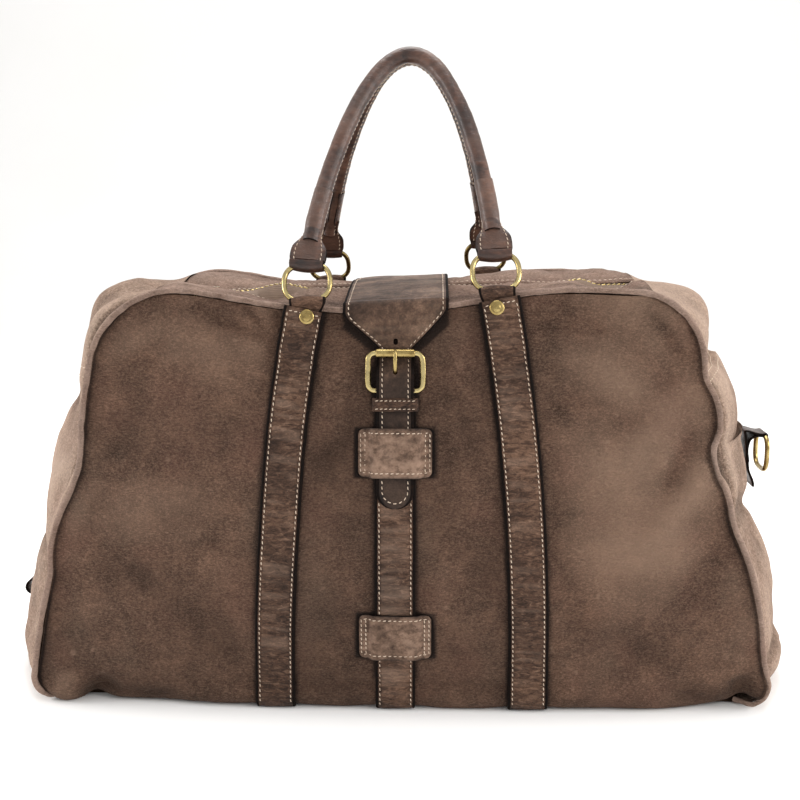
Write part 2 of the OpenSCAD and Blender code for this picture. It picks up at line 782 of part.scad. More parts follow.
// A handle's end: folded round the ring's top bar, flared, then drawn in to enter the grip
module handle_end(side) {
    foot = handle_at(side > 0 ? 0 : 180);
    mouth = handle_at(side > 0 ? grip_from : 180 - grip_from);
    way = mouth - foot;
    reach = norm(way);
    leaf_t = 2 * tab_t + 1;
    leaf_w = tab_w + 4;
    on_handle_plane() translate([side * ring_x, 0, ring_h])
        bar_loop(tab_w, tab_t) rotate([0, atan2(way[0], way[2]), 0]) {
            rotate([90, 0, 0]) translate([0, 0, -leaf_t / 2]) linear_extrude(leaf_t)
                polygon([[-tab_w / 2, 2.6], [tab_w / 2, 2.6], [leaf_w / 2, reach / 2],
                         [grip_r, reach - ease], [-grip_r, reach - ease],
                         [-leaf_w / 2, reach / 2]]);
            translate([0, 0, reach - 6])
                cylinder(r = grip_r - grip_wall - 2 * ease, h = 6 + plug_l, $fn = round_steps);
        }
}

module front_handle_left_end() {
    color(handle_brown) handle_end(-1);
}

module front_handle_right_end() {
    color(handle_brown) handle_end(1);
}

module rear_handle_left_end() {
    color(handle_brown) mirror([0, 1, 0]) handle_end(-1);
}

module rear_handle_right_end() {
    color(handle_brown) mirror([0, 1, 0]) handle_end(1);
}

// A strip of leather of thickness t whose middle follows points in Y and Z
function strip_side(path, t, k) =
    let (last = len(path) - 1, a = path[max(0, k - 1)], b = path[min(last, k + 1)],
         way = (b - a) / norm(b - a))
    path[k] + t / 2 * [-way[1], way[0]];
module ribbon(path, t) {
    last = len(path) - 1;
    polygon(concat([for (k = [0:last]) strip_side(path, t, k)],
                   [for (k = [last:-1:0]) strip_side(path, -t, k)]));
}

// The frame of the flap: over the middle of the top, tilted with the rim
module on_flap() {
    translate([buckle_x, 0, zip_z + buckle_x * tan(top_lean)]) rotate([0, -top_lean, 0])
        translate([0, 0, -zip_z]) children();
}

hinge_y = rim_d / 2 + 4.4;
flap_edge_z = zip_z + 0.2;
flap_crown_z = zip_z + 9.4;
flap_brow_z = flap_crown_z - 1.6;
flap_side_z = flap_crown_z - 4.5;
hinge_z = flap_edge_z - 3.2;
flap_path = [[hinge_y, hinge_z], [hinge_y - 1.8, flap_edge_z], [hinge_y - 8.4, flap_edge_z + 1],
             [60, flap_side_z], [30, flap_brow_z], [8, flap_crown_z], [-8, flap_crown_z],
             [-30, flap_brow_z], [-60, flap_side_z], [8.4 - hinge_y, flap_edge_z + 1], [1.8 - hinge_y, flap_edge_z],
             [-hinge_y - 0.4, hinge_z - 1], [-hinge_y - 0.9, hinge_z - 5]];

module flap() {
    color(flap_brown) on_flap() {
        across(flap_w) ribbon(flap_path, flap_t);
        translate([0, hinge_y, hinge_z]) rotate([0, 90, 0])
            cylinder(d = flap_t, h = flap_w, center = true, $fn = round_steps);
    }
}

// The anchor is sewn down the rear panel, and the flap folds at its upper edge
module flap_anchor() {
    top = [hinge_y, hinge_z - flap_t / 2 - ease - 0.2];
    function seat(z, lift) = let (p = on_skin(buckle_x, z, lift)) [-p[1], p[2] - buckle_x * tan(top_lean)];
    inner = [for (z = [body_h - 28:5:body_h - 13]) seat(z, ease)];
    outer = [for (z = [body_h - 13:-5:body_h - 28]) seat(z, ease + flap_t)];
    color(flap_brown) on_flap() across(flap_w)
        polygon(concat(inner, [top - [flap_t / 2, 0], top + [flap_t / 2, 0]], outer));
}

// Places on the middle of the front: up the skin from a height, and out from it
function seat_at(z) = let (p = on_skin(buckle_x, before_sag(buckle_x, z), 0)) [p[1], p[2]];
function slope_at(z) =
    let (a = seat_at(z - 2), b = seat_at(z + 2)) atan2(b[0] - a[0], b[1] - a[1]);
function face_pt(z, lift) =
    let (a = slope_at(z)) seat_at(z) + lift * [-cos(a), sin(a)];
buckle_slope = slope_at(buckle_z);
buckle_seat = seat_at(buckle_z);
function buckle_pt(up, out) =
    buckle_seat + up * [sin(buckle_slope), cos(buckle_slope)]
    + out * [-cos(buckle_slope), sin(buckle_slope)];

// A frame on the middle of the front skin: X along the bag, Z up the skin, -Y outward
module on_face(z) {
    seat = seat_at(z);
    translate([buckle_x, seat[0], seat[1]]) rotate([-slope_at(z), 0, 0]) children();
}

// How the buckle stands off the skin: its lower bar in the strap's folded end, its roller
// out over the tongue
chape_t = 1.4;
prong_eye_t = 1.3;
roller_clear = 0.5;
rest_gap = 0.15;
chape_r = wire_r + run_gap + chape_t;
prong_eye_r = wire_r + run_gap + prong_eye_t;
bar_out = ease + chape_r + ease;
roller_out = ease + tongue_t + ease + roller_clear + roller_r;
eye_w = 5;
strap_mid = ease + strap_t / 2;
tongue_mid = ease + strap_t + ease + tongue_t / 2;

// The centre strap comes up from under the base and folds round the buckle's lower bar
module centre_strap() {
    low = [for (z = panel_rows) if (z > 5 && z < buckle_z - 20) face_pt(z, strap_mid)];
    path = concat(low, [buckle_pt(-10, strap_mid), buckle_pt(0.8, strap_mid)]);
    slot_w = eye_w + 0.8;
    color(strap_brown) difference() {
        union() {
            translate([buckle_x, 0, 0]) across(strap_w) ribbon(path, strap_t);
            on_bar() rotate([0, 90, 0])
                cylinder(r = chape_r, h = strap_w - 2 * ease, center = true, $fn = round_steps);
        }
        on_bar() rotate([0, 90, 0])
            cylinder(r = wire_r + run_gap, h = strap_w + 2, center = true, $fn = round_steps);
        on_bar() translate([-slot_w / 2, -2 * chape_r, -prong_eye_r - 0.4])
            cube([slot_w, 4 * chape_r, 4 * chape_r]);
    }
}

// The buckle's lower bar on the X axis, with the frame's plane leaning out towards the roller
frame_tip = atan2(roller_out - bar_out, buckle_h);
module on_bar() {
    on_face(buckle_z) translate([0, -bar_out, 0]) rotate([frame_tip, 0, 0]) children();
}

module buckle_frame() {
    color(brass) on_bar() wire_loop(buckle_w, buckle_h, buckle_corner_r);
}

module buckle_roller() {
    long = buckle_w - 2 * buckle_corner_r - 2;
    color(brass) on_bar() translate([0, 0, buckle_h]) rotate([0, 90, 0]) difference() {
        cylinder(r = roller_r, h = long, center = true, $fn = round_steps);
        cylinder(r = wire_r + run_gap, h = long + 2, center = true, $fn = round_steps);
    }
}

// The prong turns on the lower bar and rests on the roller
module buckle_prong() {
    rest_out = roller_r + prong_r + rest_gap;
    path = [[-0.6, 0.5], [-2.8, 0.5 * buckle_h], [-rest_out, buckle_h - 2],
            [-rest_out, buckle_h + 1.8]];
    color(brass) on_bar() difference() {
        union() {
            rotate([0, 90, 0]) cylinder(r = prong_eye_r, h = eye_w, center = true, $fn = round_steps);
            across(2 * prong_r) ribbon(path, 2 * prong_r);
        }
        rotate([0, 90, 0])
            cylinder(r = wire_r + run_gap, h = eye_w + 2, center = true, $fn = round_steps);
    }
}

// The tongue runs behind the roller, over the lower bar and the prong's foot, then down
// under the keeper and the upper patch loop
module flap_tongue() {
    over_bar = bar_out + chape_r + ease + tongue_t / 2;
    behind = ease + tongue_t / 2;
    tip_z = tongue_tip_z + tongue_w / 2;
    above = buckle_z + buckle_h + 13;
    path = concat(
        [[-hinge_y - 0.9, hinge_z - 1], [-hinge_y - 0.9, hinge_z - 6]],
        [for (z = [above + 6, above]) face_pt(z, behind + (z - above + 6) * 0.14)],
        [buckle_pt(34, behind + 0.2), buckle_pt(28, behind), buckle_pt(22, behind + 1.4),
         buckle_pt(15, behind + 5), buckle_pt(8, over_bar - 0.8), buckle_pt(3, over_bar),
         buckle_pt(-2, over_bar - 0.2), buckle_pt(-6, over_bar - 2.6), buckle_pt(-10, tongue_mid)],
        [for (z = [buckle_z - 19.5:-10:tongue_tip_z + 8]) face_pt(z, tongue_mid)], [face_pt(tongue_tip_z, tongue_mid)]);
    edge = hinge_z - 5.3 + buckle_x * tan(top_lean);
    half = tongue_w / 2;
    taper_z = buckle_z + buckle_h + 3;
    rise = flap_w / 2 * sin(top_lean);
    color(flap_brown) difference() {
        intersection() {
            translate([buckle_x, 0, 0]) across(flap_w) ribbon(path, tongue_t);
            translate([buckle_x, -60, 0]) rotate([90, 0, 0]) linear_extrude(100) union() {
                polygon([[-flap_w / 2, edge - rise], [-flap_w / 2, edge - rise - 4], [-half, taper_z],
                         [-half, tip_z], [half, tip_z], [half, taper_z],
                         [flap_w / 2, edge + rise - 4], [flap_w / 2, edge + rise]]);
                translate([0, tip_z]) circle(half, $fn = round_steps);
            }
        }
        on_face(buckle_z) translate([-2.4, -20, 3.8]) cube([4.8, 40, 13.5]);
        on_face(buckle_z) translate([0, 20, buckle_h + 8]) rotate([90, 0, 0])
            cylinder(r = prong_r + 0.2, h = 40, $fn = round_steps);
    }
}

// A narrow band that holds the tongue down just below the buckle
module keeper_loop() {
    side_gap = 0.4;
    band_t = 1.5;
    tall = 10;
    inner_w = strap_w + 2 * side_gap;
    inner_d = tongue_mid + tongue_t / 2 + ease;
    color(strap_brown) on_face(buckle_z - 15.5) difference() {
        translate([-inner_w / 2 - band_t, -inner_d - band_t, -tall / 2])
            cube([inner_w + 2 * band_t, inner_d + band_t - ease, tall]);
        translate([-inner_w / 2, -inner_d, -tall])
            cube([inner_w, inner_d + band_t, 2 * tall]);
    }
}

// A patch sewn flat to the panel at its two ends and raised over what runs beneath it
module patch_loop(z, under_out) {
    half = patch_w / 2;
    rise_in = strap_w / 2 + 0.8;
    rise_out = rise_in + 4.5;
    lid = under_out + ease;
    lid_t = tongue_t;
    color(strap_brown) on_face(z) translate([0, 0, -patch_h / 2]) linear_extrude(patch_h)
        polygon([[-half, -ease], [-rise_out, -ease], [-rise_in, -lid], [rise_in, -lid],
                 [rise_out, -ease], [half, -ease], [half, -ease - lid_t],
                 [rise_out + 1, -ease - lid_t], [rise_in + 1, -lid - lid_t],
                 [-rise_in - 1, -lid - lid_t], [-rise_out - 1, -ease - lid_t],
                 [-half, -ease - lid_t]]);
}

module upper_patch() {
    patch_loop(upper_patch_z, tongue_mid + tongue_t / 2);
}

module lower_patch() {
    patch_loop(lower_patch_z, strap_mid + strap_t / 2);
}

// Where the right gusset's skin is at height z, a fraction c of the way across its depth
function row_of(z) = foot_corner_r + (cross_seam_z - foot_corner_r)
    / 5 * floor((z - foot_corner_r) * 5 / (cross_seam_z - foot_corner_r));
function gusset_edge(z) = wall_half(z) + gusset_swell(z);
function gusset_x(z) =
    let (step = (cross_seam_z - foot_corner_r) / 5, a = row_of(z), k = (z - a) / step)
    lerp(gusset_edge(a), gusset_edge(a + step), k);
function gusset_drop(y, z) =
    let (part = abs(y) / (edge_depth(z) - leather_t / 2 - seam_inset) / 0.45)
    end_swell * (1 - crown(0.45)) * part;

// A frame on the gusset's skin: X straight out of it, at height z and y from the middle
function end_turn(z, y) = y == 0 ? 0 : atan(gusset_drop(y, z) / y);
module on_gusset(z, y) {
    translate([gusset_x(z) - gusset_drop(y, z), y, z]) rotate([0, 0, end_turn(z, y)]) children();
}

// An end tab with its loop on the pivot, its doubled leaf sewn down the gusset
module end_tab(z, y) {
    foot = -43;
    lift = ease + 0.1;
    function leaf(h, out) =
        [(gusset_x(z + h) - gusset_x(z)) * cos(end_turn(z, y)) + out - end_stand, h];
    color(strap_brown) on_gusset(z, y) translate([end_stand, 0, 0]) rotate([0, 0, -90])
        bar_loop(tab_w, tab_t) across(tab_w) polygon([
            leaf(foot, lift), leaf(foot + 20, lift), leaf(4, lift), leaf(12, lift),
            leaf(12, lift + tab_t), leaf(8, lift + 2 * tab_t), [-1, loop_r - 0.2], [-wire_r, 0],
            [-wire_r - 0.6, -2.4], leaf(-9, lift + tab_t), leaf(foot + 20, lift + tab_t),
            leaf(foot, lift + tab_t)]);
}

module end_ring(z, y) {
    color(brass) on_gusset(z, y) translate([end_stand, 0, 0]) rotate([180, 0, 90]) ring();
}

module left_end_tab() {
    mirror([1, 0, 0]) end_tab(left_end_z, left_end_y);
}

module right_end_tab() {
    end_tab(right_end_z, 0);
}

module left_end_ring() {
    mirror([1, 0, 0]) end_ring(left_end_z, left_end_y);
}

module right_end_ring() {
    end_ring(right_end_z, 0);
}

// A small folded tab low on the left gusset
module left_pull_tab() {
    z = 60;
    tab_r = 7;
    width = 16;
    slope = atan((gusset_x(z - tab_r) - gusset_x(z + tab_r)) / (2 * tab_r));
    color(handle_brown) mirror([1, 0, 0]) translate([gusset_x(z), 0, z]) rotate([0, -slope, 0])
        intersection() {
            rotate([90, 0, 0]) scale([1.4, 1, 1])
                cylinder(r = tab_r, h = width, center = true, $fn = round_steps);
            translate([ease, -width, -2 * tab_r]) cube([2 * tab_r, 2 * width, 4 * tab_r]);
        }
}

front_panel();
rear_panel();
left_gusset();
right_gusset();
left_corner_strip();
right_corner_strip();
base_panel();
base_board();
lining();
front_top_strip();
rear_top_strip();
front_piping();
rear_piping();
front_zip_tape();
rear_zip_tape();
front_zip_teeth();
rear_zip_teeth();
zip_stops();
zip_slider();
zip_pull();
front_left_strap();
front_right_strap();
rear_left_strap();
rear_right_strap();
front_left_ring_tab();
front_right_ring_tab();
rear_left_ring_tab();
rear_right_ring_tab();
strap_rivets();
front_left_ring();
front_right_ring();
rear_left_ring();
rear_right_ring();
front_handle_cover();
rear_handle_cover();
front_handle_core();
rear_handle_core();
front_handle_left_end();
front_handle_right_end();
rear_handle_left_end();
rear_handle_right_end();
flap();
flap_tongue();
flap_anchor();
centre_strap();
buckle_frame();
buckle_roller();
buckle_prong();
keeper_loop();
upper_patch();
lower_patch();
left_end_tab();
right_end_tab();
left_end_ring();
right_end_ring();
left_pull_tab();
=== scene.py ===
"""Leather travel bag: suede shell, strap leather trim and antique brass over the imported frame.

Shapes are worked out in millimetres and become metres when a mesh is made.
"""
import logging
import math
from dataclasses import dataclass, field
from enum import Enum
from typing import Callable, Optional, Sequence

import bpy
import numpy as np
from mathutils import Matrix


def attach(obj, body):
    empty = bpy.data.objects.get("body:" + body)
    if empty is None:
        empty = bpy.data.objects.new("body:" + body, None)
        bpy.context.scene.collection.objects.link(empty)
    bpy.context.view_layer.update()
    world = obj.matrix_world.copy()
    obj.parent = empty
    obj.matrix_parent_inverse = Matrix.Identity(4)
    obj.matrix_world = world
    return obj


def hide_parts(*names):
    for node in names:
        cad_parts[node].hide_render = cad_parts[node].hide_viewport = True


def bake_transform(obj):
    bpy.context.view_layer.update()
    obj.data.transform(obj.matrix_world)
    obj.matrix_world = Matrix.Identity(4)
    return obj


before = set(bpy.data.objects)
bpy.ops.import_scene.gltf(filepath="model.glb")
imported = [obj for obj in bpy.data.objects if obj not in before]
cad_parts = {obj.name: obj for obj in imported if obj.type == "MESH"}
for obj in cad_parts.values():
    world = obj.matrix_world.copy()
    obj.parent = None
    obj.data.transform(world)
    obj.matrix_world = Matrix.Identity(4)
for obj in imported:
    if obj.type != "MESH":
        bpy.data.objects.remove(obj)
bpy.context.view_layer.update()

Array = np.ndarray
Relief = Callable[[Array, Array], Array]
log = logging.getLogger("travel_bag")
MM = 0.001
FINE = 1.0
MIDDLE = -4.5  # where the flap and the centre strap run


class Side(Enum):
    """The two ends of the bag, as the sign of X."""

    LEFT = -1
    RIGHT = 1


class Face(Enum):
    """The two long faces of the bag, as the sign of Y."""

    FRONT = -1
    REAR = 1


def smooth(t: Array) -> Array:
    """A step from 0 to 1 with level ends."""
    t = np.clip(t, 0.0, 1.0)
    return t * t * (3 - 2 * t)


def unit(v: Array) -> Array:
    """The vectors v at length one."""
    return v / np.maximum(np.linalg.norm(v, axis=-1, keepdims=True), 1e-9)


def hill(x: Array, centre: float, width: float) -> Array:
    """A soft hill of height one."""
    return np.exp(-(((x - centre) / width) ** 2))


def through(knots: Sequence[float], values: Sequence[float], at: Array) -> Array:
    """A smooth curve through chosen values.

    Args:
        knots: places, rising.
        values: the value at each place.
        at: where to read the curve.

    Returns:
        The curve's values there, level beyond its ends.
    """
    k, v = np.asarray(knots, float), np.asarray(values, float)
    slope = np.gradient(v, k)
    x = np.clip(at, k[0], k[-1])
    i = np.clip(np.searchsorted(k, x, side="right") - 1, 0, len(k) - 2)
    h = k[i + 1] - k[i]
    t = (x - k[i]) / h
    return ((2 * t**3 - 3 * t**2 + 1) * v[i] + (t**3 - 2 * t**2 + t) * h * slope[i]
            + (3 * t**2 - 2 * t**3) * v[i + 1] + (t**3 - t**2) * h * slope[i + 1])


def soft_noise(points: Array, size: Sequence[float], seed: int) -> Array:
    """Repeatable smooth noise.

    Args:
        points: places, three numbers each.
        size: width of a lump along each axis.
        seed: picks the pattern.

    Returns:
        A value from about -1 to 1 at each place.
    """
    p = np.asarray(points, float) / np.asarray(size, float) + 37.3
    base = np.floor(p).astype(np.int64)
    f = p - base
    f = f * f * (3 - 2 * f)
    total = np.zeros(p.shape[:-1])
    for corner in range(8):
        step = np.array([corner & 1, corner >> 1 & 1, corner >> 2 & 1])
        c = base + step
        n = c[..., 0] * 73856093 ^ c[..., 1] * 19349663 ^ c[..., 2] * 83492791 ^ seed * 2654435
        n = (n ^ n >> 13) * 1274126177 & 0x7FFFFFFF
        n = (n ^ n >> 15) * 1103515245 & 0x7FFFFFFF
        weight = np.prod(np.where(step == 1, f, 1 - f), axis=-1)
        total += weight * (n / 0x3FFFFFFF - 1)
    return total * 1.4


def spots(x: Array, y: Array, z: Array) -> Array:
    """Places from their three measures, spread over one grid."""
    return np.stack(np.broadcast_arrays(x, y, z), axis=-1)


def lumps(points: Array, seed: int, *layers: tuple[float, Sequence[float]]) -> Array:
    """Smooth noises of several sizes, added up by their heights."""
    return sum(high * soft_noise(points, size, seed + k) for k, (high, size) in enumerate(layers))


def face_noise(along: Array, across: Array, size: Sequence[float], seed: int) -> Array:
    """Smooth noise over a flat face, by distance along and across it."""
    return soft_noise(spots(along, across, 0.0), (*size, 1), seed)


def distance_along(path: Array) -> Array:
    """Distance travelled at each point of a line."""
    return np.concatenate([[0], np.cumsum(np.linalg.norm(np.diff(path, axis=0), axis=1))])


def between(at: Array, knots: Array, rows: Array) -> Array:
    """Rows of numbers, read in between their knots."""
    return np.stack([np.interp(at, knots, rows[:, k]) for k in range(rows.shape[1])], axis=-1)


def turned(axis: str, degrees: float) -> Array:
    """A turn through the origin.

    Args:
        axis: X, Y or Z.
        degrees: how far.

    Returns:
        A 4 by 4 matrix.
    """
    c, s = math.cos(math.radians(degrees)), math.sin(math.radians(degrees))
    a, b = {"X": (1, 2), "Y": (2, 0), "Z": (0, 1)}[axis]
    m = np.eye(4)
    m[a, a], m[a, b], m[b, a], m[b, b] = c, -s, s, c
    return m


def moved(x: float, y: float, z: float) -> Array:
    """A shift, as a 4 by 4 matrix.

    Args:
        x: distance along the bag.
        y: distance to the rear.
        z: distance up.

    Returns:
        The matrix.
    """
    m = np.eye(4)
    m[:3, 3] = (x, y, z)
    return m


def place(matrix: Array, points: Array) -> Array:
    """Points carried by a 4 by 4 matrix."""
    return np.asarray(points, float) @ matrix[:3, :3].T + matrix[:3, 3]


def respaced(path: Array, step: float, closed: bool = False) -> Array:
    """A rounded line through the path's points.

    Args:
        path: points of the line.
        step: distance between the new points.
        closed: whether the line comes back to its start.

    Returns:
        Evenly spaced points on a smooth curve through the path.
    """
    p = np.asarray(path, float)
    if closed:
        p = np.vstack([p, p[:1]])
    run = distance_along(p)
    keep = np.concatenate([[True], np.diff(run) > 1e-6])
    p, run = p[keep], run[keep]
    count = max(int(round(run[-1] / step)), 3)
    at = np.linspace(0, run[-1], count + 1)
    out = np.stack([through(run, p[:, k], at) for k in range(p.shape[1])], axis=-1)
    return out[:-1] if closed else out


def ways(path: Array, closed: bool = False) -> Array:
    """The direction of travel at each point of a line."""
    if closed:
        return unit(np.roll(path, -1, axis=0) - np.roll(path, 1, axis=0))
    return unit(np.gradient(path, axis=0))


class Piece:
    """One piece under construction: its points, its faces and each face's finish."""

    def __init__(self) -> None:
        """Starts an empty piece."""
        self.points: list[Array] = []
        self.tones: list[Array] = []
        self.faces: list[tuple[Array, int]] = []
        self.count = 0

    def add(self, points: Array, faces: Array, finish: int = 0, tone: Optional[Array] = None) -> None:
        """Adds points and the faces between them.

        Args:
            points: new points.
            faces: rows of point numbers, counted within the new points.
            finish: which of the piece's finishes they take.
            tone: how much lighter or darker each point is, from -1 to 1.
        """
        pts = np.asarray(points, float).reshape(-1, 3)
        self.faces.append((np.asarray(faces, int).reshape(len(faces), -1) + self.count, finish))
        self.points.append(pts)
        plain = np.zeros(len(pts))
        self.tones.append(plain if tone is None else np.broadcast_to(tone, points.shape[:-1]).reshape(-1))
        self.count += len(pts)

    def sheet(self, grid: Array, finish: int = 0, tone: Optional[Array] = None,
              round_rows: bool = False, round_cols: bool = False, finishes: Optional[Array] = None) -> None:
        """Adds a net of four-sided faces over a grid of points.

        Args:
            grid: points by row and column.
            finish: finish of the faces.
            tone: lightness by row and column.
            round_rows: whether the last row joins the first.
            round_cols: whether the last column joins the first.
            finishes: finish for each column of faces, instead of one for all.
        """
        rows, cols = grid.shape[:2]
        i = np.arange(rows if round_rows else rows - 1)[:, None]
        j = np.arange(cols if round_cols else cols - 1)[None, :]
        ii, jj = (i + 1) % rows, (j + 1) % cols
        quads = np.stack([i * cols + j, i * cols + jj, ii * cols + jj, ii * cols + j], axis=-1)
        if finishes is None:
            self.add(grid, quads.reshape(-1, 4), finish, tone)
            return
        start = self.count
        self.add(grid, quads[:, finishes == finishes[0]].reshape(-1, 4), int(finishes[0]), tone)
        for kind in sorted(set(finishes.tolist()) - {int(finishes[0])}):
            self.faces.append((quads[:, finishes == kind].reshape(-1, 4) + start, kind))

    def cap(self, ring: Array, finish: int = 0, flip: bool = False) -> None:
        """Closes a ring of points with a fan from its middle.

        Args:
            ring: the ring's points.
            finish: finish of the faces.
            flip: whether the faces look the other way.
        """
        n = len(ring)
        fan = np.array([[k, (k + 1) % n, n] for k in range(n)])
        self.add(np.vstack([ring, ring.mean(axis=0)]), fan[:, ::-1] if flip else fan, finish)

    def tube(self, path: Array, radius: Array, sides: int = 12, closed: bool = False,
             start_up: Sequence[float] = (0, 0, 1), relief: Optional[Relief] = None,
             square: float = 2.0, tone: Optional[Relief] = None) -> Array:
        """Adds a round bar along a path.

        Args:
            path: middle line.
            radius: radius, or one for each point.
            sides: points round the bar.
            closed: whether the path comes back to its start.
            start_up: side of the bar that angle zero faces.
            relief: extra radius by distance along and angle round.
            square: 2 for round, more for a squarer bar.
            tone: lightness by distance along and angle round.

        Returns:
            The grid of points, one row for each point of the path.
        """
        way = ways(path, closed)
        up = np.zeros_like(path)
        last = np.asarray(start_up, float)
        for k, w in enumerate(way):
            last = unit(last - w * np.dot(last, w))
            up[k] = last
        across = np.cross(way, up)
        angle = np.linspace(0, 2 * math.pi, sides, endpoint=False)
        run = distance_along(path)
        r = np.broadcast_to(np.asarray(radius, float), (len(path),))[:, None] * np.ones((1, sides))
        r = r / (np.abs(np.cos(angle)) ** square + np.abs(np.sin(angle)) ** square) ** (1 / square)
        if relief is not None:
            r = r + relief(run[:, None], angle[None, :])
        grid = (path[:, None] + r[..., None] * (np.cos(angle)[None, :, None] * up[:, None]
                                                + np.sin(angle)[None, :, None] * across[:, None]))
        shade = None if tone is None else tone(run[:, None], angle[None, :])
        self.sheet(grid, 0, shade, closed, True)
        if not closed:
            self.cap(grid[0], 0, True)
            self.cap(grid[-1])
        return grid

    def lathe(self, profile: Sequence[Sequence[float]], matrix: Array, sides: int) -> None:
        """Adds a turned form.

        Args:
            profile: radius and height of each ring, from bottom to top.
            matrix: carries the form's Z axis into place.
            sides: points round it.
        """
        angle = np.linspace(0, 2 * math.pi, sides, endpoint=False)
        prof = np.asarray(profile, float)
        grid = np.stack([prof[:, :1] * np.cos(angle), prof[:, :1] * np.sin(angle),
                         prof[:, 1:] * np.ones(sides)], axis=-1)
        self.sheet(place(matrix, grid), 0, None, False, True)

    def block(self, low: Sequence[float], high: Sequence[float], matrix: Array, edge: float) -> None:
        """Adds a small block with its edges and corners eased.

        Args:
            low: lowest corner.
            high: highest corner.
            matrix: carries the block into place.
            edge: how far the edges are eased.
        """
        lo, hi = np.asarray(low, float), np.asarray(high, float)
        mid, half = (lo + hi) / 2, (hi - lo) / 2
        rings = [(-1.0, -1), (-1.0, 0), (1.0, 0), (1.0, -1)]
        square = [(1, 1, 0), (1, 1, 1), (-1, 1, 1), (-1, 1, 0),
                  (-1, -1, 0), (-1, -1, 1), (1, -1, 1), (1, -1, 0)]
        rows = []
        for level, inner in rings:
            drop = edge if inner else 0.0
            z = mid[2] + level * (half[2] - (0 if inner else edge))
            rows.append([(mid[0] + sx * (half[0] - drop - (edge if long else 0)),
                          mid[1] + sy * (half[1] - drop - (0 if long else edge)), z)
                         for sx, sy, long in square])
        grid = place(matrix, np.array(rows))
        self.sheet(grid, 0, None, False, True)
        self.cap(grid[0], 0, True)
        self.cap(grid[-1])

    def stitches(self, path: Array, out: Array, pitch: float = 4.0, long: float = 2.7, thick: float = 0.42,
                 finish: int = 2, slant: float = 0.16) -> None:
        """Sews a row of thread along a line.

        Args:
            path: the line, on the leather's surface.
            out: direction out of the leather at each point.
            pitch: distance from stitch to stitch.
            long: length of a stitch.
            thick: radius of the thread.
            finish: the thread's finish.
            slant: how far each stitch leans across the line.
        """
        run = distance_along(path)
        count = int(run[-1] / pitch)
        if count < 1:
            return
        at = (np.arange(count) + 0.5) * run[-1] / count
        spot = between(at, run, path)
        normal = unit(between(at, run, out))
        way = unit(between(at + 0.5, run, path) - between(at - 0.5, run, path))
        across = unit(np.cross(normal, way))
        way = unit(way + slant * across)
        across = unit(np.cross(normal, way))
        body = [(-0.5, 0.3, -0.5), (-0.34, 0.9, 0.1), (0.0, 1.0, 0.3), (0.34, 0.9, 0.1), (0.5, 0.3, -0.5)]
        angle = np.linspace(0, 2 * math.pi, 6, endpoint=False)
        rings = []
        for l, r, lift in body:
            centre = spot + way * l * long + normal * thick * lift
            rings.append(centre[:, None] + r * thick * (np.cos(angle)[None, :, None] * normal[:, None]
                                                        + np.sin(angle)[None, :, None] * across[:, None]))
        grid = np.stack(rings, axis=1)
        n = 6
        quads = np.array([[a * n + b, (a + 1) * n + b, (a + 1) * n + (b + 1) % n, a * n + (b + 1) % n]
                          for a in range(len(body) - 1) for b in range(n)])
        per = grid.shape[1] * n
        faces = (quads[None] + (np.arange(count) * per)[:, None, None]).reshape(-1, 4)
        self.add(grid.reshape(-1, 3), faces, finish)

    def mirrored(self) -> "Piece":
        """Copies the piece to the other long face.

        Returns:
            The copy.
        """
        other = Piece()
        other.points = [p * np.array([1, -1, 1]) for p in self.points]
        other.tones = list(self.tones)
        other.faces = [(f[:, ::-1], k) for f, k in self.faces]
        other.count = self.count
        return other

    def facing(self, face: Face) -> "Piece":
        """The piece as it is on the front, or its copy on the rear."""
        return self if face is Face.FRONT else self.mirrored()

    def made(self, name: str, finishes: Sequence[bpy.types.Material], body: str, nodes: Sequence[str],
             slot: str, sharp: float = 50.0) -> bpy.types.Object:
        """Turns the piece into a named object that rides on its body.

        Args:
            name: the piece's name.
            finishes: its materials, in the order of the face finishes.
            body: the body that it moves with.
            nodes: the solids that it stands for.
            slot: the record's material slot; not used.
            sharp: fold angle above which an edge stays crisp, in degrees.

        Returns:
            The new object.
        """
        mesh = bpy.data.meshes.new(name)
        faces = [row for block, _ in self.faces for row in block.tolist()]
        kinds = np.concatenate([np.full(len(block), kind) for block, kind in self.faces])
        mesh.from_pydata((np.vstack(self.points) * MM).tolist(), [], faces)
        for finish in finishes:
            mesh.materials.append(finish)
        mesh.polygons.foreach_set("material_index", kinds.astype(np.int32))
        mesh.polygons.foreach_set("use_smooth", np.ones(len(faces), bool))
        # the tone attribute carries mostly painted light and shade into the materials
        tone = mesh.attributes.new("tone", "FLOAT", "POINT")
        tone.data.foreach_set("value", np.concatenate(self.tones).astype(np.float32))
        mesh.validate()
        mesh.set_sharp_from_angle(angle=math.radians(sharp))
        mesh.update()
        obj = bpy.data.objects.new(name, mesh)
        bpy.context.scene.collection.objects.link(obj)
        if body:
            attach(obj, body)
        if nodes:
            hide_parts(*nodes)
        log.info("%s: %d faces on %s", name, len(faces), body or "two bodies")
        return obj


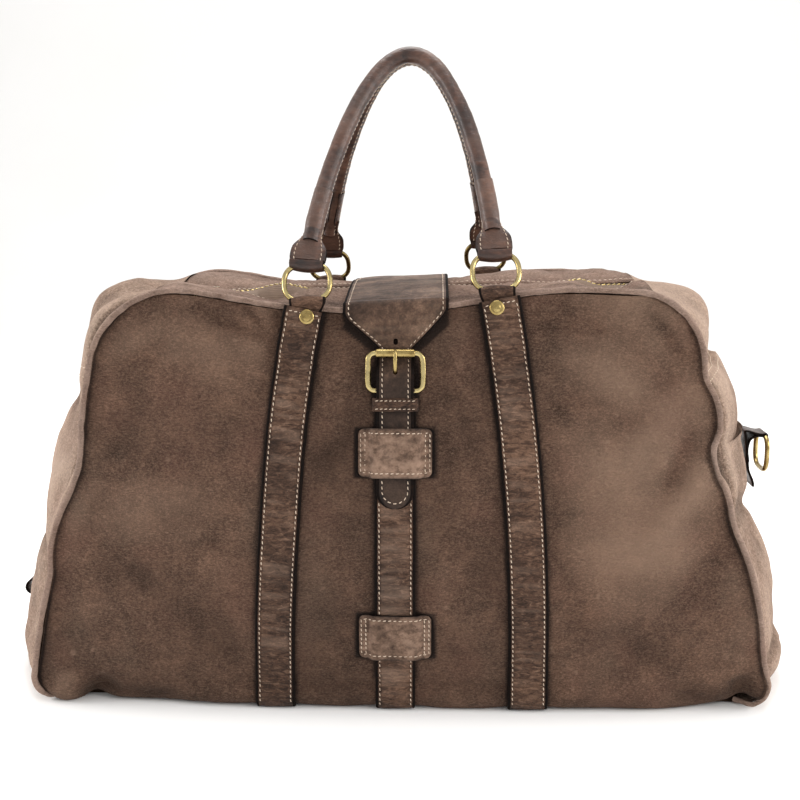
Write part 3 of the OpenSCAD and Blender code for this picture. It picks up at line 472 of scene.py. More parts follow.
@dataclass
class Strip:
    """A strip of leather laid along a path, with rounded edges.

    The path runs along the middle of its underside. Either the way out or the way across is given.
    """

    path: Array
    out: Optional[Array]
    half: Array
    thick: float = 2.5
    top: int = 11
    bed: Optional[Relief] = None
    relief: Optional[Relief] = None
    tone: Optional[Relief] = None
    across: Optional[Array] = None
    rim: float = 1.0
    run: Array = field(init=False)

    def __post_init__(self) -> None:
        """Works out the strip's own axes."""
        way = ways(self.path)
        self.across = (unit(np.cross(way, self.out)) if self.across is None
                       else np.broadcast_to(self.across, way.shape))
        self.out = unit(np.cross(self.across, way))
        self.half = np.broadcast_to(np.asarray(self.half, float), (len(self.path),))
        self.run = distance_along(self.path)

    def at(self, index: Array, side: Array) -> tuple[Array, Array]:
        """Places on the strip's outer surface.

        Args:
            index: rows, fractions allowed.
            side: distance across from the middle line.

        Returns:
            The points and the outward directions there.
        """
        rows = np.arange(len(self.path))
        normal = unit(between(index, rows, self.out))
        along = np.interp(index, rows, self.run)
        side = np.broadcast_to(side, along.shape)
        up = np.full(along.shape, self.thick)
        for form in (self.bed, self.relief):
            if form is not None:
                up = up + form(along, side)
        across = unit(between(index, rows, self.across))
        return between(index, rows, self.path) + across * side[:, None] + normal * up[:, None], normal

    def lay(self, piece: Piece) -> None:
        """Adds the strip to a piece, with the piece's second finish on its cut edges.

        Args:
            piece: what it is added to.
        """
        r = self.thick / 2
        arc = np.linspace(math.pi / 2, -math.pi / 2, 6)[1:-1]
        inner = np.maximum(self.half - r, 0.05)[:, None]
        middle = np.maximum(inner - self.rim, 0.3 * inner) * np.linspace(-1, 1, self.top - 2)
        bulge = r * np.minimum(1, inner / r)
        side = np.concatenate([-inner, middle, inner, inner + bulge * np.cos(arc),
                               inner * np.linspace(1, -1, 5), -inner - bulge * np.cos(arc[::-1])], axis=1)
        levels = [np.full(self.top, self.thick), r + r * np.sin(arc), np.zeros(5), r + r * np.sin(arc[::-1])]
        height = np.broadcast_to(np.concatenate(levels), side.shape).copy()
        along = np.broadcast_to(self.run[:, None], side.shape)
        if self.bed is not None:
            height += self.bed(along, side)
        if self.relief is not None:
            height[:, :self.top] += self.relief(along[:, :self.top], side[:, :self.top])
        grid = (self.path[:, None] + side[..., None] * self.across[:, None]
                + height[..., None] * self.out[:, None])
        kinds = np.zeros(side.shape[1], int)
        kinds[0] = kinds[self.top - 2:self.top + 4] = kinds[self.top + 8:] = 1
        shade = None
        if self.tone is not None:
            shade = np.zeros(side.shape)
            shade[:, :self.top] = self.tone(along[:, :self.top], side[:, :self.top])
        piece.sheet(grid, 0, shade, False, True, kinds)
        piece.cap(grid[0], 1, True)
        piece.cap(grid[-1], 1)

    def sew(self, piece: Piece, side: float, start: float = 0.0, end: float = 1.0, **thread: float) -> None:
        """Sews a row at one distance from the middle line.

        Args:
            piece: what it is sewn on.
            side: distance across from the middle line.
            start: where the row starts, as a share of the rows.
            end: where it ends.
            thread: pitch, long, thick and slant of the stitches.
        """
        index = np.linspace(start, end, 240) * (len(self.path) - 1)
        piece.stitches(*self.at(index, np.full(240, side)), **thread)

    def sew_across(self, piece: Piece, share: float, reach: float, count: int, **thread: float) -> None:
        """Sews a row straight across.

        Args:
            piece: what it is sewn on.
            share: where, as a share of the rows.
            reach: how far it runs on both sides of the middle line.
            count: points that the row is read at.
            thread: pitch, long, thick and slant of the stitches.
        """
        index = np.full(count, share * (len(self.path) - 1))
        piece.stitches(*self.at(index, np.linspace(-reach, reach, count)), **thread)

    def sew_edge(self, piece: Piece, inset: float, sign: int, start: float = 0.0, end: float = 1.0,
                 **thread: float) -> None:
        """Sews a row that keeps its distance from one cut edge.

        Args:
            piece: what it is sewn on.
            inset: distance in from the edge.
            sign: -1 or 1 for the edge.
            start: where the row starts, as a share of the rows.
            end: where it ends.
            thread: pitch, long, thick and slant of the stitches.
        """
        index = np.linspace(start, end, 320) * (len(self.path) - 1)
        half = np.interp(index, np.arange(len(self.path)), self.half)
        piece.stitches(*self.at(index, sign * np.maximum(half - inset, 0)), **thread)


def paint(code: str) -> tuple[float, float, float, float]:
    """A screen colour such as "7a6355" as the shader's linear colour."""
    parts = [int(code[k:k + 2], 16) / 255 for k in (0, 2, 4)]
    return (*[c / 12.92 if c <= 0.04045 else ((c + 0.055) / 1.055) ** 2.4 for c in parts], 1.0)


class Recipe:
    """A material as its nodes are laid down."""

    def __init__(self, name: str, **sockets: object) -> None:
        """Starts a material with plain values on its main shader.

        Args:
            name: the material's name.
            sockets: values by socket name, with underscores for spaces.
        """
        self.material = bpy.data.materials.new(name)
        self.material.use_nodes = True
        self.tree = self.material.node_tree
        self.shader = self.tree.nodes["Principled BSDF"]
        for key, value in sockets.items():
            self.shader.inputs[key.replace("_", " ")].default_value = value
        self.last_bump = None

    def feed(self, slot: bpy.types.NodeSocket, value: object) -> None:
        """Links a value to a socket, or sets it there.

        Args:
            slot: the socket.
            value: another socket, or a plain value.
        """
        if isinstance(value, bpy.types.NodeSocket):
            self.tree.links.new(value, slot)
        else:
            slot.default_value = value

    def node(self, kind: str, inputs: Optional[dict] = None, **settings: object) -> bpy.types.Node:
        """Adds a node.

        Args:
            kind: node type, without its ShaderNode prefix.
            inputs: value or link for each input.
            settings: the node's own settings.

        Returns:
            The new node.
        """
        made = self.tree.nodes.new("ShaderNode" + kind)
        for key, value in settings.items():
            setattr(made, key, value)
        for key, value in (inputs or {}).items():
            self.feed(made.inputs[key], value)
        return made

    def spot(self, stretch: Sequence[float] = (1, 1, 1)) -> bpy.types.NodeSocket:
        """Places on the piece, stretched along the axes."""
        where = self.node("TexCoord").outputs["Object"]
        return self.node("Mapping", {"Vector": where, "Scale": tuple(stretch)}).outputs["Vector"]

    def cloud(self, scale: float, detail: float = 3, rough: float = 0.55,
              stretch: Sequence[float] = (1, 1, 1), warp: float = 0.0) -> bpy.types.NodeSocket:
        """A cloudy pattern.

        Args:
            scale: lumps per metre.
            detail: finer layers.
            rough: strength of the finer layers.
            stretch: how much closer the lumps are along each axis.
            warp: how far the pattern is drawn about.

        Returns:
            A value near one half.
        """
        return self.node("TexNoise", {"Vector": self.spot(stretch), "Scale": scale, "Detail": detail,
                                      "Roughness": rough, "Distortion": warp}).outputs["Fac"]

    def cells(self, scale: float, stretch: Sequence[float] = (1, 1, 1)) -> bpy.types.NodeSocket:
        """Distance within pebbled cells."""
        return self.node("TexVoronoi", {"Vector": self.spot(stretch), "Scale": scale},
                         feature="SMOOTH_F1").outputs["Distance"]

    def maths(self, kind: str, a: object, b: object) -> bpy.types.NodeSocket:
        """Joins two values by a sum.

        Args:
            kind: ADD or MULTIPLY.
            a: first value.
            b: second value.

        Returns:
            The result.
        """
        made = self.node("Math", operation=kind)
        for slot, value in zip(made.inputs, (a, b)):
            self.feed(slot, value)
        return made.outputs[0]

    def shares(self, *parts: tuple[bpy.types.NodeSocket, float]) -> bpy.types.NodeSocket:
        """Adds up values, each by its own share.

        Args:
            parts: each value with its share.

        Returns:
            Their sum.
        """
        total = self.maths("MULTIPLY", *parts[0])
        for part in parts[1:]:
            total = self.maths("ADD", total, self.maths("MULTIPLY", *part))
        return total

    def ramp(self, source: bpy.types.NodeSocket, stops: Sequence[tuple[float, str]]) -> bpy.types.NodeSocket:
        """Colours along a value.

        Args:
            source: the value.
            stops: place and colour of each stop.

        Returns:
            The colour.
        """
        made = self.node("ValToRGB", {"Fac": source})
        band = made.color_ramp
        while len(band.elements) < len(stops):
            band.elements.new(0.5)
        for element, (where, code) in zip(band.elements, stops):
            element.position, element.color = where, paint(code)
        return made.outputs["Color"]

    def mix(self, factor: object, a: object, b: object) -> bpy.types.NodeSocket:
        """One colour laid over another.

        Args:
            factor: how much of b.
            a: lower colour.
            b: upper colour.

        Returns:
            The mixed colour.
        """
        made = self.node("Mix", data_type="RGBA")
        for slot, value in ((made.inputs[0], factor), (made.inputs[6], a), (made.inputs[7], b)):
            self.feed(slot, value)
        return made.outputs[2]

    def spread(self, source: bpy.types.NodeSocket, low: float, high: float, to_low: float = 0.0,
               to_high: float = 1.0) -> bpy.types.NodeSocket:
        """A value carried from one range to another, held at its ends.

        Args:
            source: the value.
            low: start of its range.
            high: end of its range.
            to_low: start of the new range.
            to_high: end of the new range.

        Returns:
            The new value.
        """
        return self.node("MapRange", {"Value": source, "From Min": low, "From Max": high,
                                      "To Min": to_low, "To Max": to_high}).outputs["Result"]

    def tone(self) -> bpy.types.NodeSocket:
        """The lightness that the piece's shape was given, mostly painted light and shade."""
        return self.node("Attribute", attribute_name="tone", attribute_type="GEOMETRY").outputs["Fac"]

    def painted_light_and_shade(self, colour: bpy.types.NodeSocket, light: str, dark: str) -> bpy.types.NodeSocket:
        """Paints light and shade on a colour: painted highlight where the tone is above zero, painted shade
        where it is below.

        Args:
            colour: the plain colour.
            light: colour of the painted highlight.
            dark: colour of the painted shade.

        Returns:
            The shaded colour.
        """
        up = self.spread(self.tone(), 0.0, 1.0)
        down = self.spread(self.tone(), 0.0, -1.0)
        return self.mix(down, self.mix(up, colour, paint(light)), paint(dark))

    def rubbed(self, base: bpy.types.NodeSocket, mask: bpy.types.NodeSocket, low: float, high: float,
               to_low: float, to_high: float, code: str) -> bpy.types.NodeSocket:
        """Lays a colour over another where a pattern runs high or low.

        Args:
            base: lower colour.
            mask: the pattern.
            low: start of its range.
            high: end of its range.
            to_low: how much of the colour there is at the start.
            to_high: how much at the end.
            code: the colour.

        Returns:
            The mixed colour.
        """
        return self.mix(self.spread(mask, low, high, to_low, to_high), base, paint(code))

    def colour(self, source: bpy.types.NodeSocket) -> None:
        """Sets the base colour."""
        self.tree.links.new(source, self.shader.inputs["Base Color"])

    def roughness(self, source: bpy.types.NodeSocket) -> None:
        """Sets the roughness."""
        self.tree.links.new(source, self.shader.inputs["Roughness"])

    def bump(self, height: bpy.types.NodeSocket, depth: float, strength: float = 1.0) -> None:
        """Adds relief to what is there.

        Args:
            height: the pattern.
            depth: its depth in metres.
            strength: how much of it shows.
        """
        inputs = {"Height": height, "Distance": depth, "Strength": strength}
        if self.last_bump is not None:
            inputs["Normal"] = self.last_bump
        self.last_bump = self.node("Bump", inputs).outputs["Normal"]
        self.tree.links.new(self.last_bump, self.shader.inputs["Normal"])


@dataclass(frozen=True)
class Suede:
    """Brushed suede: clouded browns, a rubbed bloom, a fine nap, and painted highlight and shade from the tone
    attribute.
    """

    name: str = "body_suede"
    dark: str = "38281f"
    mid: str = "553f33"
    light: str = "6f5444"
    bloom_and_highlight: str = "957a67"
    wrinkle: tuple = (1.0, 1.0, 2.1)

    def mix(self) -> bpy.types.Material:
        """Lays down the material.

        Returns:
            The material.
        """
        r = Recipe(self.name, Roughness=0.86, Sheen_Weight=0.1, Sheen_Roughness=0.45, Specular_IOR_Level=0.15,
                   Sheen_Tint=paint("c9ae9a"))
        broad = r.cloud(11, 3, 0.55, warp=0.5)
        mid = r.cloud(48, 5, 0.66, warp=0.3)
        wrinkles = r.cloud(430, 3, 0.62, self.wrinkle, 0.6)
        nap = r.cloud(900, 2, 0.7)
        blend = r.shares((broad, 0.28), (mid, 0.48), (wrinkles, 0.24))
        base = r.ramp(blend, [(0.36, self.dark), (0.5, self.mid), (0.64, self.light)])
        base = r.rubbed(base, r.cloud(17, 2, 0.5), 0.5, 0.72, 0.0, 0.4, "64453a")
        base = r.rubbed(base, r.cloud(14, 2, 0.5, (1.3, 1, 0.8)), 0.54, 0.74, 0.0, 0.3, "5c4f43")
        base = r.rubbed(base, wrinkles, 0.36, 0.53, 0.34, 0.0, "2b1d16")
        base = r.rubbed(base, wrinkles, 0.52, 0.68, 0.0, 0.24, self.bloom_and_highlight)
        base = r.rubbed(base, nap, 0.5, 0.72, 0.0, 0.3, self.bloom_and_highlight)
        base = r.rubbed(base, r.cloud(110, 2, 0.4), 0.7, 0.8, 0.0, 0.4, self.bloom_and_highlight)
        # painted highlight in the bloom colour and painted shade in 1d1410, by the tone attribute
        r.colour(r.painted_light_and_shade(base, self.bloom_and_highlight, "1d1410"))
        r.bump(r.cloud(120, 3, 0.6, self.wrinkle, 0.4), 0.002, 0.8)
        r.bump(wrinkles, 0.0018, 1.0)
        r.bump(nap, 0.0003, 0.7)
        return r.material


@dataclass(frozen=True)
class StrapLeather:
    """Pull-up strap leather with a creased, slightly waxed face."""

    name: str = "strap_leather"
    dark: str = "271a13"
    mid: str = "4b3528"
    light: str = "705442"
    stretch: tuple = (1.0, 1.0, 3.0)
    rough: float = 0.62
    warp: float = 0.9

    def mix(self) -> bpy.types.Material:
        """Lays down the material.

        Returns:
            The material.
        """
        r = Recipe(self.name, Sheen_Weight=0.03, Sheen_Roughness=0.4, Specular_IOR_Level=0.2)
        broad = r.cloud(22, 3, 0.55, warp=0.4)
        crease = r.cloud(150, 4, 0.64, self.stretch, self.warp)
        fine = r.cloud(700, 2, 0.6)
        blend = r.shares((broad, 0.42), (crease, 0.42), (fine, 0.16))
        base = r.ramp(blend, [(0.37, self.dark), (0.5, self.mid), (0.63, self.light)])
        base = r.rubbed(base, crease, 0.38, 0.5, 0.34, 0.0, "20140e")
        base = r.rubbed(base, crease, 0.56, 0.7, 0.0, 0.22, "9a7f6b")
        # painted highlight in a68c7a and painted shade in 1d1512, by the tone attribute
        r.colour(r.painted_light_and_shade(base, "a68c7a", "1d1512"))
        r.roughness(r.spread(crease, 0.3, 0.7, self.rough + 0.14, self.rough - 0.08))
        r.bump(crease, 0.002, 0.95)
        r.bump(r.cells(900), 0.00018, 0.6)
        return r.material


@dataclass(frozen=True)
class FlapLeather:
    """Dark, finely pebbled leather."""

    name: str = "flap_leather"
    dark: str = "32241c"
    mid: str = "564134"
    light: str = "795f4e"

    def mix(self) -> bpy.types.Material:
        """Lays down the material.

        Returns:
            The material.
        """
        r = Recipe(self.name, Sheen_Weight=0.03, Sheen_Roughness=0.4, Specular_IOR_Level=0.18)
        broad = r.cloud(26, 4, 0.6, warp=0.4)
        pebble = r.cells(820, (1, 1, 1.15))
        blend = r.shares((broad, 0.7), (r.cloud(260, 2, 0.6), 0.3))
        base = r.ramp(blend, [(0.37, self.dark), (0.5, self.mid), (0.63, self.light)])
        base = r.rubbed(base, pebble, 0.25, 0.6, 0.0, 0.35, "2b231e")
        # painted highlight in 8b7868 and painted shade in 1b1411, by the tone attribute
        r.colour(r.painted_light_and_shade(base, "8b7868", "1b1411"))
        r.roughness(r.spread(broad, 0.3, 0.7, 0.74, 0.6))
        r.bump(r.cloud(60, 3, 0.6, warp=0.5), 0.0012, 0.4)
        r.bump(pebble, 0.00035, 0.7)
        return r.material


@dataclass(frozen=True)
class HandleLeather:
    """Glossy reddish brown leather, creased across by the hand."""

    name: str = "handle_leather"
    dark: str = "1c100b"
    mid: str = "3a241b"
    light: str = "5b3d2f"
    rough: float = 0.33

    def mix(self) -> bpy.types.Material:
        """Lays down the material.

        Returns:
            The material.
        """
        r = Recipe(self.name, Specular_IOR_Level=0.42, Coat_Weight=0.12, Coat_Roughness=0.25)
        broad = r.cloud(40, 3, 0.6, warp=0.6)
        crease = r.cloud(130, 4, 0.7, (1.0, 1.0, 2.6), 0.6)
        base = r.ramp(r.shares((broad, 0.55), (crease, 0.45)),
                      [(0.36, self.dark), (0.5, self.mid), (0.64, self.light)])
        # painted highlight in 7d5f50 and painted shade in 0c0706, by the tone attribute
        r.colour(r.painted_light_and_shade(base, "7d5f50", "0c0706"))
        r.roughness(r.spread(crease, 0.3, 0.72, self.rough + 0.16, self.rough - 0.05))
        r.bump(crease, 0.0011, 0.6)
        r.bump(r.cells(1300), 0.00012, 0.5)
        return r.material


@dataclass(frozen=True)
class BurnishedEdge:
    """The dark, rubbed cut edge of strap leather."""

    name: str = "burnished_edge"

    def mix(self) -> bpy.types.Material:
        """Lays down the material.

        Returns:
            The material.
        """
        r = Recipe(self.name, Specular_IOR_Level=0.08)
        fibres = r.cloud(480, 4, 0.7)
        r.colour(r.ramp(fibres, [(0.35, "0a0605"), (0.55, "130c09"), (0.72, "241812")]))
        r.roughness(r.spread(fibres, 0.3, 0.7, 0.7, 0.9))
        r.bump(fibres, 0.0004, 0.7)
        return r.material


@dataclass(frozen=True)
class Thread:
    """Waxed cream thread with its two-ply twist."""

    name: str = "cream_thread"
    light: str = "cbb7a2"
    dark: str = "937b67"

    def mix(self) -> bpy.types.Material:
        """Lays down the material.

        Returns:
            The material.
        """
        r = Recipe(self.name, Roughness=0.66, Sheen_Weight=0.2, Sheen_Roughness=0.4)
        ply = r.cloud(1500, 2, 0.6, (1, 1, 2))
        soil = r.cloud(60, 2, 0.6)
        r.colour(r.ramp(r.shares((ply, 0.5), (soil, 0.5)), [(0.36, self.dark), (0.56, self.light)]))
        r.bump(ply, 0.0002, 0.8)
        return r.material


@dataclass(frozen=True)
class AntiqueBrass:
    """Aged brass in patchy browns, with painted highlight where it faces out and painted shade round its
    sides.
    """

    name: str = "antique_brass"
    bright: str = "ae9a66"
    mid: str = "937e4f"
    dark: str = "5c4a2b"
    rough: float = 0.24

    def mix(self) -> bpy.types.Material:
        """Lays down the material.

        Returns:
            The material.
        """
        r = Recipe(self.name, Metallic=1.0)
        age = r.cloud(120, 3, 0.5, warp=0.3)
        base = r.ramp(age, [(0.28, self.dark), (0.42, self.mid), (0.66, self.bright)])
        # painted highlight in f0e2ac and painted shade in 3a2c18, by the tone attribute
        r.colour(r.painted_light_and_shade(base, "f0e2ac", "3a2c18"))
        r.roughness(r.spread(r.cloud(240, 3, 0.6), 0.3, 0.7, self.rough - 0.06, self.rough + 0.1))
        r.bump(r.cloud(300, 2, 0.5), 0.00006, 0.4)
        return r.material


@dataclass(frozen=True)
class Webbing:
    """A close woven cloth in two yarns."""

    name: str = "zip_tape"
    light: str = "8d7663"
    dark: str = "5d4a3d"
    pitch: float = 1150.0

    def mix(self) -> bpy.types.Material:
        """Lays down the material.

        Returns:
            The material.
        """
        r = Recipe(self.name, Roughness=0.85, Sheen_Weight=0.15, Sheen_Roughness=0.5)
        yarns = [r.node("TexWave", {"Vector": r.spot(), "Scale": self.pitch / 3.1, "Distortion": 0.6},
                        bands_direction=way).outputs["Fac"] for way in "XY"]
        weave = r.maths("MULTIPLY", *yarns)
        blend = r.shares((weave, 0.6), (r.cloud(80, 3, 0.6), 0.4))
        r.colour(r.ramp(blend, [(0.15, self.dark), (0.6, self.light)]))
        r.bump(weave, 0.0003, 0.6)
        return r.material


@dataclass(frozen=True)
class Fibreboard:
    """Pressed board of brown fibres."""

    name: str = "base_board"

    def mix(self) -> bpy.types.Material:
        """Lays down the material.

        Returns:
            The material.
        """
        r = Recipe(self.name, Roughness=0.9)
        chips = r.cloud(160, 5, 0.75, (1, 2.4, 1), 0.8)
        r.colour(r.ramp(chips, [(0.35, "4a3a2c"), (0.5, "7a6248"), (0.65, "a28a68")]))
        r.bump(chips, 0.0004, 0.6)
        return r.material


@dataclass(frozen=True)
class PaleFloor:
    """The plain pale studio floor."""

    name: str = "pale_floor"

    def mix(self) -> bpy.types.Material:
        """Lays down the material.

        Returns:
            The material.
        """
        r = Recipe(self.name, Roughness=0.9, Specular_IOR_Level=0.1)
        r.colour(r.ramp(r.cloud(2, 2, 0.4), [(0.3, "f8f7f5"), (0.7, "fbfaf9")]))
        return r.material


@dataclass
class Palette:
    """Every finish of the bag, mixed once."""

    suede: bpy.types.Material = field(default_factory=lambda: Suede().mix())
    # end_suede is the body suede mixed lighter: painted light on the side-lit ends
    end_suede: bpy.types.Material = field(default_factory=lambda: Suede(
        "end_suede", "59473b", "7d6657", "998271", "bda694", (1.0, 1.0, 1.2)).mix())
    # piping_suede, also used on the top strips, is the body suede mixed lighter: painted highlight
    piping: bpy.types.Material = field(default_factory=lambda: Suede(
        "piping_suede", "4d3c33", "715a4d", "8f7667", "b0988a").mix())
    strap: bpy.types.Material = field(default_factory=lambda: StrapLeather().mix())
    patch: bpy.types.Material = field(default_factory=lambda: StrapLeather(
        "patch_leather", "49372c", "6e5748", "8c7261", (1.0, 1.0, 1.3), 0.66, 0.1).mix())
    flap: bpy.types.Material = field(default_factory=lambda: FlapLeather().mix())
    handle: bpy.types.Material = field(default_factory=lambda: HandleLeather().mix())
    edge: bpy.types.Material = field(default_factory=lambda: BurnishedEdge().mix())
    thread: bpy.types.Material = field(default_factory=lambda: Thread().mix())
    brass: bpy.types.Material = field(default_factory=lambda: AntiqueBrass().mix())
    tape: bpy.types.Material = field(default_factory=lambda: Webbing().mix())
    lining: bpy.types.Material = field(default_factory=lambda: Webbing(
        "lining_cloth", "4d4138", "2e2620", 900.0).mix())
    rope: bpy.types.Material = field(default_factory=lambda: Webbing(
        "rope_core", "b3a184", "86745a", 500.0).mix())
    board: bpy.types.Material = field(default_factory=lambda: Fibreboard().mix())


@dataclass(frozen=True)
class Fold:
    """A soft fold or dent in the suede, placed one by one."""

    x: float
    z: float
    angle: float
    long: float
    wide: float
    high: float

    def height(self, x: Array, z: Array) -> Array:
        """Works out how far the fold stands out.

        Args:
            x: place along the bag.
            z: height.

        Returns:
            The distance out.
        """
        c, s = math.cos(math.radians(self.angle)), math.sin(math.radians(self.angle))
        u = (x - self.x) * c + (z - self.z) * s
        v = -(x - self.x) * s + (z - self.z) * c
        bent = v + 0.12 * self.long * np.sin(u / self.long * 1.7)
        return self.high * hill(bent, 0, self.wide) * np.exp(-((u / self.long) ** 4))


@dataclass(frozen=True)
class BagForm:
    """The bag's sizes and its smooth outer form, before folds and wrinkles."""

    foot_w: float = 594.0
    rim_w: float = 441.0
    tall: float = 322.0
    foot_d: float = 206.0
    rim_d: float = 184.0
    belly: float = 17.0
    end_swell: float = 33.5
    top_corner_r: float = 52.0
    foot_corner_r: float = 22.0
    fold_r: float = 15.0
    rim_sag: float = 14.0
    lean: float = 3.3
    seam_inset: float = 3.3
    zip_z: float = 315.0
    zip_lean: float = 1.2
    left_knots: tuple = (0, 43, 77, 104, 126, 151, 170, 190, 222, 245, 276, 322)
    left_moves: tuple = (-6, -3, -1, -1, 2.5, 0.5, -4.5, -6.5, -2.2, -0.3, 1, 1)
    right_knots: tuple = (0, 43, 84, 116, 148, 171, 188, 206, 220, 240, 259, 276, 322)
    right_moves: tuple = (-10, -10, -5.6, -6.4, -12, -12.5, -17, -16, -8.6, -6.2, -11, -8.5, 1)
    right_slack_knots: tuple = (0, 43, 79, 105, 131, 157, 185, 208, 235, 258, 270)
    right_slack: tuple = (8, 9, 7, 10.5, 15.5, 12, 7.5, 3.7, 2, 6.7, 8)

    def wall(self, z: Array, side: Array, shifted: bool = True) -> Array:
        """Half width of the piped outline on a straight side.

        Args:
            z: height.
            side: sign of X.
            shifted: whether the outline's own wander is taken in.

        Returns:
            The distance from the middle.
        """
        base = (self.foot_w + (self.rim_w - self.foot_w) * z / self.tall) / 2
        if not shifted:
            return base
        left = through(self.left_knots, self.left_moves, z)
        right = through(self.right_knots, self.right_moves, z)
        return base + np.where(np.asarray(side) < 0, left, right)

    def edge(self, z: Array, inset: float, side: Array, shifted: bool = True) -> Array:
        """Half width of the outline with its round corners.

        Args:
            z: height.
            inset: how far it is set in from the seam.
            side: sign of X.
            shifted: whether the outline's own wander is taken in.

        Returns:
            The distance from the middle.
        """
        z = np.asarray(z, float)
        top_r, foot_r = self.top_corner_r - inset, self.foot_corner_r - inset
        turn = self.tall - self.top_corner_r
        wall = self.wall(z, side, shifted) - inset
        foot = self.wall(np.full_like(z, self.foot_corner_r), side, shifted) - inset
        up = np.clip((z - turn) / top_r, 0, 1)
        down = np.clip((self.foot_corner_r - z) / foot_r, 0, 1)
        return np.where(z > turn, wall - top_r + top_r * np.sqrt(1 - up**2),
                        np.where(z < self.foot_corner_r, foot - foot_r + foot_r * np.sqrt(1 - down**2), wall))

    def edge_depth(self, z: Array) -> Array:
        """Distance of the piped seam from the middle plane.

        Args:
            z: height.

        Returns:
            The distance.
        """
        down = np.clip((self.fold_r - z) / self.fold_r, 0, 1)
        low = self.foot_d / 2 - self.fold_r + self.fold_r * np.sqrt(1 - down**2)
        face = (self.foot_d + (self.rim_d - self.foot_d) * z / self.tall) / 2
        high = self.foot_d / 2 + (face - self.foot_d / 2) * np.clip((z - 22) / 60, 0, 1)
        return np.where(z < self.fold_r, low, high)

    def belly_share(self, z: Array) -> Array:
        """How much of the belly there is at a height."""
        main = np.sin(math.pi * np.clip((z - 22) / 300, 0, 1) ** 0.7)
        return main + 0.55 * (1 - smooth(z / 50))

    def rim_shift(self, x: Array) -> Array:
        """How far the rim has dropped or risen.

        Args:
            x: place along the bag.

        Returns:
            The move up.
        """
        sag = np.where(np.abs(x) < 170, np.cos(np.clip(x / 170, -1, 1) * math.pi / 2) ** 2, 0)
        level = 1 - smooth((np.abs(x) - 80) / 90)
        return -self.rim_sag * sag + x * math.tan(math.radians(self.lean)) * level

    def sag_share(self, z: Array) -> Array:
        """How much of the rim's sag reaches down to a height."""
        return np.clip((z - 150) / (self.tall - 150), 0, 1) ** 2

    def skin(self, x: Array, z: Array) -> Array:
        """The front's smooth skin.

        Args:
            x: place along the bag.
            z: height before the rim sags.

        Returns:
            Points on the skin.
        """
        x, z = np.broadcast_arrays(np.asarray(x, float), np.asarray(z, float))
        q = np.clip(np.abs(x) / self.edge(np.minimum(z, 318.7), self.seam_inset, np.sign(x), False), 0, 1)
        depth = self.edge_depth(z) + self.belly * self.belly_share(z) * (1 - q**3)
        return np.stack([x, -depth, z + self.rim_shift(x) * self.sag_share(z)], axis=-1)

    def skin_out(self, x: Array, z: Array) -> Array:
        """The way out of the front's skin.

        Args:
            x: place along the bag.
            z: height before the rim sags.

        Returns:
            Directions of length one.
        """
        e = 0.2
        dx = self.skin(x + e, z) - self.skin(x - e, z)
        dz = self.skin(x, np.minimum(self.tall, z + e)) - self.skin(x, np.maximum(0, z - e))
        return unit(np.cross(dx, dz))

    def on_skin(self, x: Array, z: Array, lift: Array) -> Array:
        """Places that stand off the front's skin."""
        return self.skin(x, z) + np.asarray(lift)[..., None] * self.skin_out(x, z)

    def before_sag(self, x: Array, z: Array) -> Array:
        """Finds the height that sags down to another.

        Args:
            x: place along the bag.
            z: the height after the sag.

        Returns:
            The height before it.
        """
        guess = np.asarray(z, float)
        for _ in range(8):
            guess = z - self.rim_shift(x) * self.sag_share(guess)
        return guess

    def zip_dip(self, x: Array, face: Face) -> Array:
        """How far the soft top drops beside the front of the zip, where the teeth show."""
        dip = 9.5 * hill(x, -103, 21) + 7.5 * hill(x, 158, 23) * smooth((184 - x) / 12)
        return dip if face is Face.FRONT else 0 * dip

    def zip_at(self, x: Array) -> Array:
        """Height of the zip along the bag."""
        return self.zip_z + x * math.tan(math.radians(self.zip_lean))

    def outline(self, side: Side, inset: float = 0.0, last: float = 90.0) -> tuple[Array, Array]:
        """The piped outline up one end.

        Args:
            side: which end.
            inset: how far it is set in.
            last: angle round the upper corner where it stops.

        Returns:
            Points (x, z) from the floor up, and the way out at each.
        """
        s = side.value
        rise = self.foot_corner_r * (1 - np.cos(np.radians(np.linspace(0, 90, 14))))
        turn = self.tall - self.top_corner_r
        height = np.concatenate([rise, np.linspace(self.foot_corner_r, turn, 90)[1:]])
        a = np.radians(np.linspace(0, last, 30))[1:]
        x = self.edge(height, inset, np.full_like(height, s))
        corner = self.top_corner_r - inset
        top_z = turn + corner * np.sin(a)
        top_x = self.wall(top_z, s) - inset - corner * (1 - np.cos(a))
        line = np.stack([s * np.concatenate([x, top_x]), np.concatenate([height, top_z])], axis=-1)
        way = ways(line)
        return line, np.stack([way[:, 1], -way[:, 0]], axis=-1) * s

    def crown(self, c: Array) -> Array:
        """How an end stands out across its depth."""
        return np.maximum(1 - c**2, 0) ** 1.3

    def swell(self, z: Array) -> Array:
        """How far the middle of an end stands out past the smooth outline."""
        low = 1 - (1 - np.clip(z / 30, 0, 1)) ** 2
        return self.end_swell * (0.35 + 0.65 * low) * (1 - 0.3 * smooth((z - 180) / 90))

    def end_peak(self, side: Side, z: Array) -> Array:
        """Distance of an end's outermost line from the middle."""
        slack = through(self.right_slack_knots, self.right_slack, z) if side is Side.RIGHT else 0.0
        return self.wall(z, side.value, False) + self.swell(z) - slack

    def end_skin(self, side: Side, y: Array, z: Array) -> Array:
        """Distance of an end's skin from the middle.

        Args:
            side: which end.
            y: depth.
            z: height.

        Returns:
            The distance at each place.
        """
        c = np.clip(y / (self.edge_depth(z) - 4.0), -1, 1)
        wall = self.wall(z, side.value)
        return wall + (self.end_peak(side, z) - wall) * self.crown(c)


